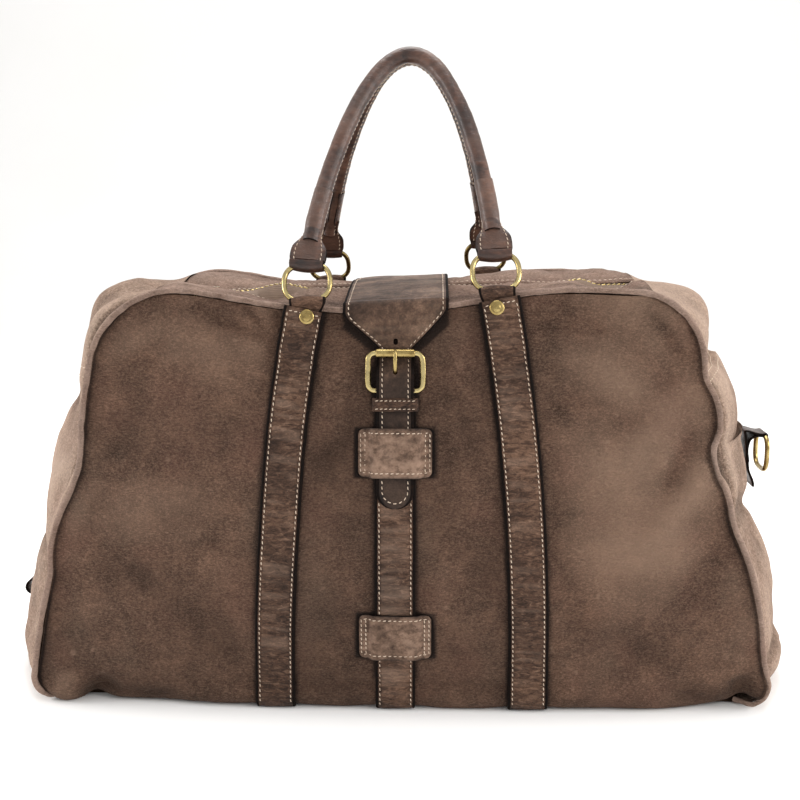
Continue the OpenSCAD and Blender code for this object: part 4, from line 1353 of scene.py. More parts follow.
@dataclass
class Shell:
    """The sewn body: panels, ends, top strips, base, piping, lining and base board."""

    form: BagForm
    palette: Palette
    rows: int = int(150 * FINE)
    cols: int = int(230 * FINE)
    leather: float = 2.4
    roll_knots: tuple = (0, 28, 46, 62, 70)
    left_roll: tuple = (25, 31, 21, 10, 5)
    right_roll: tuple = (18, 28, 14, 5, 3)
    patch_levels: tuple = (62.0, 205.4)
    foot_folds: tuple = (
        Fold(-238, 10, 62, 14, 10, -9), Fold(-205, 9, 8, 34, 8, -4), Fold(-262, 14, 80, 16, 14, 5),
        Fold(262, 12, 120, 15, 10, -9), Fold(232, 10, -8, 30, 9, -4), Fold(284, 16, 95, 16, 12, 5))
    wall_folds: tuple = (
        Fold(-150, 284, 12, 60, 16, 2.4), Fold(-196, 268, 48, 34, 9, -2.2),
        Fold(-120, 300, -10, 36, 5, -2.4), Fold(-104, 305, -38, 20, 4, -2.2),
        Fold(-215, 200, 70, 44, 14, -2.6), Fold(-236, 168, 62, 40, 12, 2.6),
        Fold(-150, 172, 20, 60, 22, 2.2), Fold(-180, 92, -22, 60, 20, -2.2), Fold(-44, 216, 62, 30, 9, -2.0),
        Fold(-52, 262, 66, 26, 8, 1.8), Fold(44, 262, -62, 30, 9, 2.0), Fold(48, 226, -70, 40, 10, -1.8),
        Fold(150, 262, -14, 50, 16, 2.2), Fold(178, 238, 58, 40, 12, -2.0), Fold(206, 198, 75, 26, 9, -3.0),
        Fold(212, 168, 60, 34, 10, 2.8), Fold(170, 130, 12, 60, 20, 2.2), Fold(226, 108, 72, 50, 14, -2.0),
        Fold(118, 296, 4, 34, 6, -2.2), Fold(196, 290, -42, 26, 7, -2.4), Fold(40, 120, 80, 60, 18, 2.0),
        Fold(-48, 110, 84, 60, 16, -1.8), Fold(160, 60, -6, 70, 18, -2.0), Fold(-120, 46, 4, 60, 16, -2.0))

    def quiet(self, x: Array, z: Array, front: bool) -> Array:
        """Finds where the straps and the buckle hold the suede flat.

        Args:
            x: place along the bag.
            z: height before the sag.
            front: whether it is the front panel.

        Returns:
            Zero under them, rising to one away from them.
        """
        beside = np.abs(x - MIDDLE)
        calm = 1 - hill(np.maximum(np.abs(np.abs(x) - LongStraps.middle(z)) - 14, 0), 0, 11)
        if front:
            return calm * (1 - hill(np.maximum(beside - np.where(z > 272, 30, 14), 0), 0, 12))
        return np.where(z > 280, calm * (1 - hill(np.maximum(beside - 34, 0), 0, 12)), calm)

    def relief(self, x: Array, z: Array, face: Face) -> Array:
        """How far the suede of a panel stands off its smooth form.

        Args:
            x: place along the bag.
            z: height before the sag.
            face: front or rear.

        Returns:
            The distance out at each place.
        """
        front = face is Face.FRONT
        seed = 11 if front else 71
        p = spots(x, 0.0, z)
        out = lumps(p, seed, (1.9, (96, 1, 74)), (0.9, (40, 1, 30)), (0.34, (19, 1, 11)), (0.16, (9, 1, 5)))
        if front:
            out += sum(f.height(x, z) for f in self.wall_folds)
        else:
            out += sum(f.height(-x * 0.93 + 7, z) for f in self.wall_folds if f.z < 270)
        calm = self.quiet(x, z, front)
        out *= calm
        out += sum(f.height(x if front else -x, z) for f in self.foot_folds)
        inset = self.form.edge(z, 0, np.sign(x)) - np.abs(x)
        slant = 0.1 * np.abs(x)
        gather = soft_noise(spots(slant, slant, z + slant), (1, 1, 10), seed + 5)
        out += 0.9 * gather * np.exp(-inset / 9) * smooth((z - 20) / 40)
        out -= 0.9 * hill(inset, 5.0, 2.4)
        tuck = face_noise(x, 0.0, (11, 1), seed + 6)
        return out + tuck * np.exp((z - self.form.tall) / 12) * calm

    @staticmethod
    def contact(gap: Array, width: float) -> Array:
        """The dark line and the faint shade beside something that lies on the suede."""
        near = np.maximum(gap, 0)
        return 0.65 * hill(near, 0, width) + 0.12 * hill(near, 0, 6)

    def panel_tone(self, x: Array, z: Array, relief: Array, face: Face) -> Array:
        """Paints light and shade on a panel: painted shade at its seams, beside the long straps and at its
        foot, and painted highlight on raised suede; on the front also painted shade beside the centre strap,
        round the patches and between the long straps, and painted light towards the right end.

        Args:
            x: place along the bag.
            z: height before the sag.
            relief: how far the suede stands off its smooth form.
            face: front or rear.

        Returns:
            The lightness at each place.
        """
        inset = self.form.edge(z, 0, np.sign(x)) - np.abs(x)
        tone = np.clip(relief * 0.1, -0.35, 0.3) - 0.16 * (1 - smooth(z / 46))
        tone -= self.contact(np.abs(np.abs(x) - LongStraps.middle(z)) - 15.5, 1.2)
        tone -= 0.8 * hill(inset, 3.4, 1.5) + 0.12 * hill(inset, 7, 5)
        if face is Face.REAR:
            return tone
        beside = np.abs(x - MIDDLE)
        half = np.interp(z, [30, 230, 266, 284, 306], [15.5, 15.5, 18, 14, 38])
        tone -= self.contact(beside - half, 1.4) * smooth((z - 20) / 10)
        for level in self.patch_levels:
            away = np.hypot(np.maximum(beside - 29.4, 0), np.maximum(np.abs(z - level) - 18.4, 0))
            tone -= 0.8 * hill(away, 0, 1.5)
        # painted light towards the right end and painted shade between the long straps, as from a lamp at the
        # right
        right = smooth((x - 110) / 60) * smooth((z - 60) / 60)
        return tone - 0.2 * smooth((90 - np.abs(x)) / 14) + 0.27 * right

    def panel(self, face: Face) -> Piece:
        """Builds a long panel, folded under at its foot.

        Args:
            face: front or rear.

        Returns:
            The panel.
        """
        form = self.form
        fold = form.fold_r * (1 - np.cos(np.radians(np.linspace(0, 90, int(16 * FINE) + 2))))
        turn = form.tall - form.top_corner_r
        wall = np.linspace(form.fold_r, turn, int(self.rows * 0.76))[1:]
        corner = turn + (318.9 - turn) * np.sin(np.radians(np.linspace(0, 90, int(34 * FINE) + 2)))[1:]
        q = np.linspace(-1, 1, self.cols)
        q = np.sign(q) * (1 - (1 - np.abs(q)) ** 1.12)
        q, z = np.broadcast_arrays(q, np.concatenate([fold, wall, corner])[:, None])
        x = q * form.edge(z, 2.2, np.sign(q))
        relief = self.relief(x, z, face)
        out = form.skin_out(x, z)
        grid = form.skin(x, z) + relief[..., None] * out
        grid[..., 2] = np.maximum(grid[..., 2], 0.15)
        piece = Piece()
        piece.sheet(grid, 0, self.panel_tone(x, z, relief, face))
        back = (grid - self.leather * out)[::3, ::3]
        back[..., 2] = np.maximum(back[..., 2], 2.6)
        piece.sheet(back[:, ::-1], 0)
        return piece.facing(face)

    def end_grid(self, side: Side, first: float, last: float, count: int) -> tuple[Array, Array, Array]:
        """Points over part of an end, from seam to seam.

        Args:
            side: which end.
            first: start along the outline, as a height.
            last: angle round the upper corner, or a height on the wall where it is over 100.
            count: rows.

        Returns:
            The grid, the share of depth, and the way out.
        """
        form = self.form
        line, way = form.outline(side, 0.0, 70.0)
        run = distance_along(line)
        turn = int(np.searchsorted(line[:, 1], form.tall - form.top_corner_r))
        begin, end = np.interp((first, last), line[:turn, 1], run[:turn])
        at = np.linspace(begin, end if last > 100 else run[-1], count)
        (x, z), (nx, nz) = between(at, run, line).T, between(at, run, way).T
        c = np.sin(np.linspace(-1, 1, int(76 * FINE)) * math.pi / 2)[None, :]
        y = c * (form.edge_depth(z) - 3.0)[:, None]
        past = (at - run[turn])[:, None]
        angle = np.clip(past / (form.top_corner_r * 1.06) * 57.3, 0, 70)
        roll = self.left_roll if side is Side.LEFT else self.right_roll
        plain = np.minimum((form.end_peak(side, z) - form.wall(z, side.value))[:, None], 60)
        join = 1 - smooth((-past - 5) / 17)
        swell = np.where(angle > 0, through(self.roll_knots, roll, angle), plain * (1 - join) + roll[0] * join)
        rim = form.rim_d / 2 - 0.5
        share = np.clip((rim - np.abs(y)) / (rim - 8.8), 0, 1)
        level = self.strip_height(np.full(y.shape, side.value * 186.7), share, Face.FRONT)
        joint = smooth((angle - 46) / 22)
        bulge = swell * form.crown(c) * (1 - joint)
        lap_x, lap_z = -1.6 * side.value * joint, (level + 0.5 - z[-1] - 3.4 * hill(y, 0, 7.5)) * joint
        nx, nz = nx[:, None], nz[:, None]
        grid = spots(x[:, None] + nx * bulge + lap_x, y, z[:, None] + nz * bulge + lap_z)
        return grid, np.broadcast_to(c, y.shape), spots(nx, 0 * y, nz)

    def end_relief(self, side: Side, grid: Array, c: Array) -> Array:
        """Works out the pleats and folds of an end.

        Args:
            side: which end.
            grid: places on the end's smooth form.
            c: share of depth at each, from -1 at the front seam to 1.

        Returns:
            The distance out at each place.
        """
        seed = 131 if side is Side.LEFT else 151
        y, z = grid[..., 1], grid[..., 2]
        p = spots(y, 0.0, z + 0.25 * y)
        loose = 1 - np.abs(c) ** 3
        out = 2.2 * soft_noise(p, (34, 1, 62), seed) * loose + 1.3 * soft_noise(p, (17, 1, 30), seed + 1)
        out += 0.5 * soft_noise(p, (9, 1, 13), seed + 2)
        out += 0.9 * face_noise(z, 0.0, (9, 1), seed + 3) * np.abs(c) ** 6
        seam = (1 - np.abs(c)) * 98
        out += 1.5 * hill(seam, 6.0, 2.2) - 1.2 * hill(seam, 2.6, 1.1) - 0.8 * hill(seam, 10.5, 1.6)
        if side is Side.RIGHT:
            out -= 5.0 * hill(z + 0.12 * y, 143, 8) * loose
            out -= 6.0 * hill(z - 0.1 * y, 41, 6) * loose
            out += 3.0 * hill(z, 88, 22) * loose + 4.0 * hill(z, 20, 12) * loose
            out += (c < 0) * hill(z, 190, 60) * (1.6 * hill(seam, 22, 5.0) - 2.4 * hill(seam, 13, 3.0))
        else:
            out += 4.5 * hill(z, 178, 18) * loose
            out -= 3.0 * hill(z - 0.3 * y, 128, 8) * loose
            out -= 3.5 * hill(z + 0.2 * y, 226, 9) * loose
            corner = smooth((z - 222) / 34) * (c < 0)
            out += corner * (3.6 * hill(seam, 25, 7.0) - 4.4 * hill(seam, 12.5, 3.2))
        tab_y, tab_z = (28, 156) if side is Side.LEFT else (0, 183)
        sewn = hill(y - tab_y, 0, 19) * hill(z, tab_z, 40)
        return out * (1 - 0.85 * sewn) * smooth(z / 26)

    def end_piece(self, side: Side, first: float, last: float, count: int) -> Piece:
        """Builds one piece of an end.

        Args:
            side: which end.
            first: lowest height.
            last: highest height, or 70 for the angle where the top strips begin.
            count: rows.

        Returns:
            The piece.
        """
        grid, c, way = self.end_grid(side, first, last, count)
        out = self.end_relief(side, grid, c)
        if last < 100:
            out = out * (1 - smooth(np.linspace(-1.2, 1.05, count)))[:, None]
        z = grid[..., 2]
        seam = (1 - np.abs(c)) * 98
        crease = 1.3 * hill(seam, 0, 2.4) + 0.5 * hill(seam, 10.5, 2.0)
        if side is Side.LEFT:
            crease += smooth((z - 200) / 40) * (1.5 * hill(seam, 12.5, 3.2) + 0.1) * (c < 0)
        else:
            crease += 0.9 * hill(z, 190, 60) * hill(seam, 13, 3.2) * (c < 0)
        whole = grid + way * out[..., None]
        whole[..., 2] = np.maximum(whole[..., 2], 0.4)
        # painted light over the end and on its raised suede, painted shade in the creases by its seams; the
        # right end is painted lighter near its top
        tone = np.clip(0.12 + 0.1 * out, -0.3, 0.45) - 0.6 * crease
        if side is Side.RIGHT:
            tone = tone + 0.22 * smooth((z - 225) / 40) * (1 - crease)
        piece = Piece()
        order = slice(None) if side is Side.RIGHT else slice(None, None, -1)
        piece.sheet(whole[:, order], 0, tone[:, order])
        inner = (whole - way * self.leather)[::3, ::3]
        inner[..., 2] = np.maximum(inner[..., 2], 2.6)
        piece.sheet(inner[:, order][:, ::-1], 0)
        if last < 100:
            for back in (2, 6):
                piece.stitches(whole[back, 4:-4], way[back, 4:-4], 4.2, 2.7, 0.4, 1)
            for s in (3, -4):
                for k in range(6):
                    spot = whole[4 + k % 3, s + (k // 3)]
                    piece.stitches(np.stack([spot - [0, 3, 0], spot + [0, 3, 0]]),
                                   np.stack([way[4, s], way[4, s]]), 3.0, 3.4, 0.45, 1, 0.8 if k % 2 else -0.8)
        return piece

    def strip_height(self, x: Array, s: Array, face: Face) -> Array:
        """Height of a top strip.

        Args:
            x: place along the bag.
            s: 0 at the piped rim, 1 at the zip.
            face: front or rear.

        Returns:
            The height at each place.
        """
        form = self.form
        seed = 211 if face is Face.FRONT else 231
        over = np.clip((np.abs(x) - form.rim_w / 2 + form.top_corner_r) / 18.5, 0, 1)
        rim = form.tall + form.rim_shift(x) - 3.4 * over**2
        left = 3.4 * hill(x, -172, 15) if face is Face.FRONT else -5.0 * hill(x, -150, 40)
        hump = left - 1.6 * hill(x, 118, 20)
        low = form.zip_at(x) + 3.4
        p = spots(x, 30 * s, 0.0)
        fold = lumps(p, seed, (2.0, (34, 16, 1)), (1.1, (15, 8, 1)), (0.6, (7, 9, 1)))
        calm = smooth((187 - np.abs(x)) / 20) * (1 - 0.7 * hill(x, MIDDLE, 42))
        return (rim + (low - rim) * smooth(s * 0.9 + 0.1 * s * s) + 4.2 * np.sin(math.pi * s)
                + fold * (0.35 + 0.65 * np.sin(math.pi * s)) * calm + hump * s**1.5
                - form.zip_dip(x, face) * smooth(s / 0.5))

    def top_strip(self, face: Face) -> Piece:
        """Builds the strip between a piped rim and the zip.

        Args:
            face: front or rear.

        Returns:
            The strip.
        """
        n, m = int(190 * FINE), int(34 * FINE) + 2
        x, s = np.broadcast_arrays(np.linspace(-186.7, 186.7, n)[None, :], np.linspace(0, 1, m)[:, None])
        depth = self.form.rim_d / 2 - 0.5
        z = self.strip_height(x, s, face)
        grid = spots(x, -(depth + (8.8 - depth) * s), z)
        hem = grid[-1:] + [0, 1.1, -1.3]
        under = grid[-1:] - [0, 0, self.leather]
        # painted light where the strip stands above the zip, painted shade along its piped rim and under its
        # hem
        tone = np.clip((z - self.form.zip_at(x) - 4) * 0.03, -0.2, 0.3)
        tone = tone - 0.7 * hill(s, 0, 0.045) - 0.35 * hill(s, 0.22, 0.07)
        piece = Piece()
        piece.sheet(np.concatenate([grid, hem, under]), 0, np.concatenate([tone, tone[-1:], tone[-1:] - 0.3]))
        back = grid[::2, ::3] - [0, 0, self.leather]
        piece.sheet(back[:, ::-1], 0)
        up = np.tile([0.0, 0.0, 1.0], (n, 1))
        piece.stitches(grid[int(m * 0.93)], up, 4.2, 2.7, 0.4, 1)
        return piece.facing(face)

    def piping_path(self) -> Array:
        """Middle line of the piping round a panel.

        Returns:
            Its points.
        """
        form = self.form
        left, right = (form.outline(side, 0.0, 88.0)[0] for side in Side)
        rim = np.stack([np.linspace(-166, 166, 90), np.full(90, form.tall)], axis=-1)
        x, z = np.vstack([left, rim, right[::-1]]).T
        z_low = np.maximum(z + form.rim_shift(x) * form.sag_share(z), 3.3)
        return respaced(spots(x, -form.edge_depth(z) - 0.6, z_low), 1.9 / FINE)

    def piping(self, face: Face) -> Piece:
        """Builds the piping round a panel.

        Args:
            face: front or rear.

        Returns:
            The piping.
        """
        seed = 301 if face is Face.FRONT else 307

        def gather(along: Array, angle: Array) -> Array:
            """Small gathers along the piping."""
            return lumps(spots(along, 0.0, 1.2 * np.cos(angle)), seed, (0.28, (7, 1, 1)), (0.2, (26, 1, 1)))

        def light_and_shade(along: Array, angle: Array) -> Array:
            """Painted highlight along the piping, brighter where its gathers stand out."""
            return 0.3 + 0.5 * gather(along, angle)

        piece = Piece()
        piece.tube(self.piping_path(), 2.2, 12, False, (0, -1, 0), gather, 2.0, light_and_shade)
        return piece.facing(face)

    def base(self) -> Piece:
        """Builds the suede base between the folded panels.

        Returns:
            The base.
        """
        x, y = np.broadcast_arrays(np.linspace(-268, 268, int(120 * FINE))[None, :],
                                   np.linspace(-88.5, 88.5, int(50 * FINE))[:, None])
        z = 1.0 + 0.5 * face_noise(x, y, (60, 40), 401) + 0.25 * face_noise(x, y, (16, 14), 402)
        piece = Piece()
        # the base is painted darker all over: painted shade under the bag
        piece.sheet(spots(x, y, z)[::-1], 0, np.full(x.shape, -0.2))
        piece.sheet(spots(x, y, 2.9)[::4, ::4], 0)
        return piece

    def board(self) -> Piece:
        """Builds the stiff board inside the base.

        Returns:
            The board.
        """
        ring = rounded_box(248.0, 79.0, 12.0, 8)
        grid = np.stack([np.column_stack([ring * (1 - inset / 240), np.full(len(ring), z)])
                         for inset, z in ((0.6, 3.0), (0, 3.4), (0, 5.0), (0.6, 5.4))])
        piece = Piece()
        piece.sheet(grid, 0, None, False, True)
        piece.cap(grid[0], 0, True)
        piece.cap(grid[-1], 0)
        return piece

    def lining(self) -> Piece:
        """Builds the cloth lining, a pouch just inside the shell.

        Returns:
            The lining.
        """
        form = self.form
        rings = []
        for inset in (13.0, 14.0):
            rows = []
            for level in (5.8, 5.9, *np.linspace(8, 258, 34)):
                q = np.linspace(-0.985, 0.985, 40)
                wide = float(form.edge(np.array(max(level, 12.0)), 9.0, 1.0, False)) - 6 - inset
                front = form.skin(q * wide, np.full(40, level))
                front[:, 1] += inset + (6 if level < 12 else 0)
                front[:, 2] = level
                c = np.linspace(-0.93, 0.93, 22)
                reach = float(form.edge_depth(np.array(level))) - 5 - inset
                fold = 0.8 * soft_noise(spots(c * 90, 0.0, level), (14, 1, 60), 411)
                end = spots(wide + (form.swell(level) - 9) * form.crown(c) + fold, c * reach, level)
                rows.append(np.vstack([front, end, front * [-1, -1, 1], end * [-1, -1, 1]]))
            rings.append(np.stack(rows))
        piece = Piece()
        piece.sheet(rings[0], 0, None, False, True)
        piece.sheet(rings[1][:, ::-1], 0, None, False, True)
        piece.cap(rings[0][0], 0, True)
        piece.cap(rings[1][0] + [0, 0, 0.8], 0)
        piece.sheet(np.stack([rings[0][-1], rings[1][-1]]), 0, None, False, True)
        return piece

    def build(self) -> None:
        """Makes and dresses every piece of the shell."""
        p = self.palette
        for face, word in ((Face.FRONT, "front"), (Face.REAR, "rear")):
            self.panel(face).made(f"{word}_suede_panel", [p.suede], "bag", [f"{word}_panel"], "body_suede")
            self.top_strip(face).made(f"{word}_suede_strip", [p.piping, p.thread], "bag",
                                      [f"{word}_top_strip"], "body_suede")
            self.piping(face).made(
                f"{word}_rolled_piping", [p.piping], "bag", [f"{word}_piping"], "strap_leather")
        for side, word in ((Side.LEFT, "left"), (Side.RIGHT, "right")):
            self.end_piece(side, 0.6, 250.0, int(110 * FINE)).made(
                f"{word}_suede_gusset", [p.end_suede, p.thread], "bag", [f"{word}_gusset"], "body_suede")
            self.end_piece(side, 248.5, 70.0, int(52 * FINE)).made(
                f"{word}_suede_corner", [p.end_suede, p.thread], "bag", [f"{word}_corner_strip"], "body_suede")
        self.base().made("suede_base", [p.suede], "bag", ["base_panel"], "body_suede")
        self.board().made("stiff_base_board", [p.board], "bag", ["base_board"], "base_board")
        self.lining().made("cloth_lining", [p.lining], "bag", ["lining"], "lining_cloth")


def painted_wire_highlight(along: Array, angle: Array) -> Array:
    """Painted highlight on brass wire where it faces out, and painted shade round its sides."""
    return np.clip(1.1 * np.cos(angle) - 0.74 + 0 * along, -0.62, 0.32)


def oval(half_x: float, half_z: float, square: float) -> Array:
    """A flat closed line round a squarish oval, for a ring of wire.

    Args:
        half_x: half its width.
        half_z: half its height.
        square: 2 for an ellipse, more for a squarer line.

    Returns:
        Points with x across and z up, about the middle.
    """
    t = np.linspace(0, 2 * math.pi, int(72 * FINE), endpoint=False)
    c, s = np.cos(t), np.sin(t)
    x = half_x * np.sign(c) * np.abs(c) ** (2 / square)
    return respaced(spots(x, 0.0, half_z * np.sign(s) * np.abs(s) ** (2 / square)), 1.5, True)


@dataclass
class Zipper:
    """The brass zip: tapes, rows of teeth, stops, slider and pull."""

    form: BagForm
    palette: Palette
    half: float = 182.03
    pitch: float = 4.0
    gap: float = 0.75
    tooth: float = 3.2
    thick: float = 2.6
    slider_long: float = 10.0
    pin_up: float = 4.3

    def wave(self, x: Array, s: int) -> tuple[Array, Array]:
        """How far a row wanders, nothing near the slider and the stops.

        Args:
            x: place along the zip.
            s: -1 for the front row, 1 for the rear.

        Returns:
            The moves sideways and up.
        """
        calm = smooth((self.half - 24 - np.abs(x)) / 24)
        up = 5.6 * hill(x, -101, 19) + 9.0 * hill(x, 156, 24) + 1.0 * hill(x, 64, 22)
        side = 0.5 * hill(x, 40, 40) + 0.4 * hill(x, 118, 26)
        return s * side * calm, up * calm * (1 - 0.8 * hill(x, MIDDLE, 44))

    def matrix(self, x: float = 0.0) -> Array:
        """Carries the zip's own axes into place."""
        return moved(0, 0, self.form.zip_z) @ turned("Y", -self.form.zip_lean) @ moved(x, 0, 0)

    def rest(self) -> Array:
        """Where the slider rests, at the zip's left end."""
        return self.matrix(1 + self.slider_long / 2 - self.half)

    def tape(self, s: int) -> Piece:
        """Builds one woven tape, with the cord that its teeth grip.

        Args:
            s: -1 for the front tape, 1 for the rear.

        Returns:
            The tape.
        """
        x = np.linspace(-self.half, self.half, int(180 * FINE))[:, None]
        side, up = self.wave(x, s)
        inner = self.gap + self.tooth
        y = inner + np.array([0.15, 0.65, 1.15, 10.0, 10.0, 1.15, 0.65, 0.15])[None, :]
        z = np.array([0.55, 0.85, 0.5, 0.5, -0.5, -0.5, -0.85, -0.55])[None, :]
        drop = self.form.zip_dip(x, Face.FRONT if s < 0 else Face.REAR)
        level = z + up * (1 - smooth((y - 5) / 8)) - drop * smooth((y - 5) / 6)
        grid = place(self.matrix(), spots(x, s * y + side * (y < 6), level))
        piece = Piece()
        piece.sheet(grid if s > 0 else grid[:, ::-1], 0, None, False, True)
        piece.cap(grid[0], 0, s > 0)
        piece.cap(grid[-1], 0, s < 0)
        return piece

    def teeth(self, s: int) -> Piece:
        """Builds one row of cast teeth clamped on the tape's cord.

        Args:
            s: -1 for the front row, 1 for the rear.

        Returns:
            The row.
        """
        piece = Piece()
        low, high = self.gap, self.gap + self.tooth + 0.9
        near, far = (low, high) if s > 0 else (-high, -low)
        for k in range(int(2 * self.half / self.pitch - 1)):
            x = 1.7 - self.half + (self.pitch / 2 if s > 0 else 0) + k * self.pitch
            side, up = self.wave(np.array(x), s)
            at = self.matrix() @ moved(x, float(side), float(up))
            piece.block((-1.0, near, -self.thick / 2), (1.0, far, self.thick / 2), at, 0.42)
        return piece

    def stops(self) -> Piece:
        """Builds the four small end stops.

        Returns:
            The stops.
        """
        piece = Piece()
        for sx in (-1, 1):
            for sy in (-1, 1):
                at = self.matrix(sx * (self.half + 1.6)) @ moved(0, sy * (self.gap + self.tooth / 2), 0)
                piece.block((-1.5, -1.6, -1.3), (1.5, 1.6, 1.3), at, 0.45)
        return piece

    def slider(self) -> Piece:
        """Builds the slider's two plates, its post and the ears of its pin.

        Returns:
            The slider.
        """
        piece, rest = Piece(), self.rest()
        for spin in (180, 0):
            at = rest @ turned("X", spin)
            piece.block((-5, -6.1, 1.6), (5, 6.1, 2.8), at, 0.5)
            for y in (-5.35, 5.35):
                piece.block((-5, y - 0.75, 0.95), (5, y + 0.75, 1.7), at, 0.2)
        for y in (-2.45, 2.45):
            piece.block((-1.7, y - 0.6, 2.7), (1.7, y + 0.6, 5.35), rest, 0.35)
        piece.block((-5, -0.42, -1.7), (-2, 0.42, 1.7), rest, 0.1)
        piece.tube(place(rest, [[0, y, self.pin_up] for y in (-2.35, 0, 2.35)]), 0.58, 10)
        return piece

    def pull(self) -> Piece:
        """Builds the flat pull with its eye and its hole.

        Returns:
            The pull.
        """
        at = self.rest() @ moved(0, 0, self.pin_up)
        piece = Piece()
        turn = np.radians(np.linspace(35, 325, 18))
        eye = [spots(1.05 * r * np.cos(turn), y, 1.05 * r * np.sin(turn))
               for r, y in ((1.28, -1.6), (0.86, -1.6), (0.86, 1.6), (1.28, 1.6))]
        piece.sheet(place(at, np.stack(eye)), 0, None, True, False)
        nose = [(20.5 + 3.5 * math.cos(a), 3.5 * math.sin(a)) for a in np.radians(np.linspace(-70, 70, 13))]
        outer = respaced([(0.9, -1.6), (5.0, -1.6), (6.0, -3.5), (20.5, -3.5), *nose,
                          (20.5, 3.5), (6.0, 3.5), (5.0, 1.6), (0.9, 1.6)], 0.9, True)
        spin = np.arctan2(outer[:, 1], outer[:, 0] - 20.5)
        hole = np.stack([20.5 + 1.5 * np.cos(spin), 1.5 * np.sin(spin)], axis=-1)
        rings = []
        for line, z, shrink in ((hole, -0.55, 1.0), (outer, -0.7, 0.93), (outer, -0.45, 1.0),
                                (outer, 0.45, 1.0), (outer, 0.7, 0.93), (hole, 0.55, 1.0)):
            mid = line.mean(axis=0)
            rings.append(np.column_stack([mid + (line - mid) * shrink, np.full(len(line), z)]))
        piece.sheet(place(at, np.stack(rings)), 0, None, True, True)
        return piece

    def build(self) -> None:
        """Makes and dresses every piece of the zip."""
        p = self.palette
        for s, word in ((-1, "front"), (1, "rear")):
            self.tape(s).made(f"{word}_woven_tape", [p.tape], "bag", [f"{word}_zip_tape"], "zip_tape")
            self.teeth(s).made(
                f"{word}_brass_teeth", [p.brass], "bag", [f"{word}_zip_teeth"], "antique_brass", 30)
        self.stops().made("brass_end_stops", [p.brass], "bag", ["zip_stops"], "antique_brass", 30)
        self.slider().made("brass_zip_slider", [p.brass], "zip_slider", ["zip_slider"], "antique_brass", 30)
        self.pull().made("brass_zip_pull", [p.brass], "zip_pull", ["zip_pull"], "antique_brass", 40)


@dataclass
class LongStraps:
    """The four tall straps that run from under the base up to the ring tabs."""

    form: BagForm
    palette: Palette
    half: float = 15.25
    thick: float = 2.5
    sewn_in: float = 3.4

    @staticmethod
    def middle(z: Array) -> Array:
        """Distance of a strap's middle line from the bag's middle."""
        return 97 - 26 * np.clip(z / 322, 0, 1) ** 2.2

    @staticmethod
    def lift(z: Array) -> Array:
        """How far a strap's underside stands off the skin."""
        return 0.45 + 3.9 * smooth((z - 276) / 8) + 2.4 * smooth((z - 304) / 9)

    def strip(self, side: Side, seed: int) -> Strip:
        """Lays out one strap on the front.

        Args:
            side: left or right strap.
            seed: picks its wrinkles.

        Returns:
            The strap as a strip.
        """
        z = np.linspace(3.4, 320.6, int(230 * FINE))
        x = side.value * self.middle(z)
        if side is Side.LEFT:
            x = x + 1.5 * hill(z, 150, 70)

        def wrinkles(along: Array, across: Array) -> Array:
            """Fine wrinkles across the strap, and the grooves that its stitches lie in.

            Args:
                along: distance along.
                across: distance from the middle line.

            Returns:
                The relief.
            """
            p = spots(along + 0.5 * np.sin(across / 6), across, 0.0)
            fine = lumps(p, seed, (0.26, (3.4, 26, 1)), (0.16, (8, 34, 1)))
            inset = self.half - np.abs(across)
            return fine * (1 - 0.6 * hill(inset, self.sewn_in, 1.6)) - 0.34 * hill(inset, self.sewn_in, 0.8)

        def shade(along: Array, across: Array) -> Array:
            """Darker edges and foot, and darker wrinkles."""
            edge = np.exp(-(self.half - np.abs(across)) / 1.3)
            return 0.55 * wrinkles(along, across) - 0.5 * edge - 0.35 * np.exp(-along / 12)

        return Strip(self.form.on_skin(x, z, self.lift(z)), self.form.skin_out(x, z), self.half, self.thick,
                     21, None, wrinkles, shade)

    def build(self) -> None:
        """Makes and dresses the four straps."""
        p = self.palette
        for side, word in ((Side.LEFT, "left"), (Side.RIGHT, "right")):
            for face, where in ((Face.FRONT, "front"), (Face.REAR, "rear")):
                strip = self.strip(side, 500 + side.value + 7 * face.value)
                piece = Piece()
                strip.lay(piece)
                for sign in (-1, 1):
                    strip.sew_edge(piece, self.sewn_in, sign, 0.012, 0.985)
                strip.sew_across(piece, 0.988, 11.6, 60, pitch=3.4, long=2.4)
                piece.facing(face).made(f"{where}_{word}_long_strap", [p.strap, p.edge, p.thread], "bag",
                                        [f"{where}_{word}_strap"], "strap_leather")


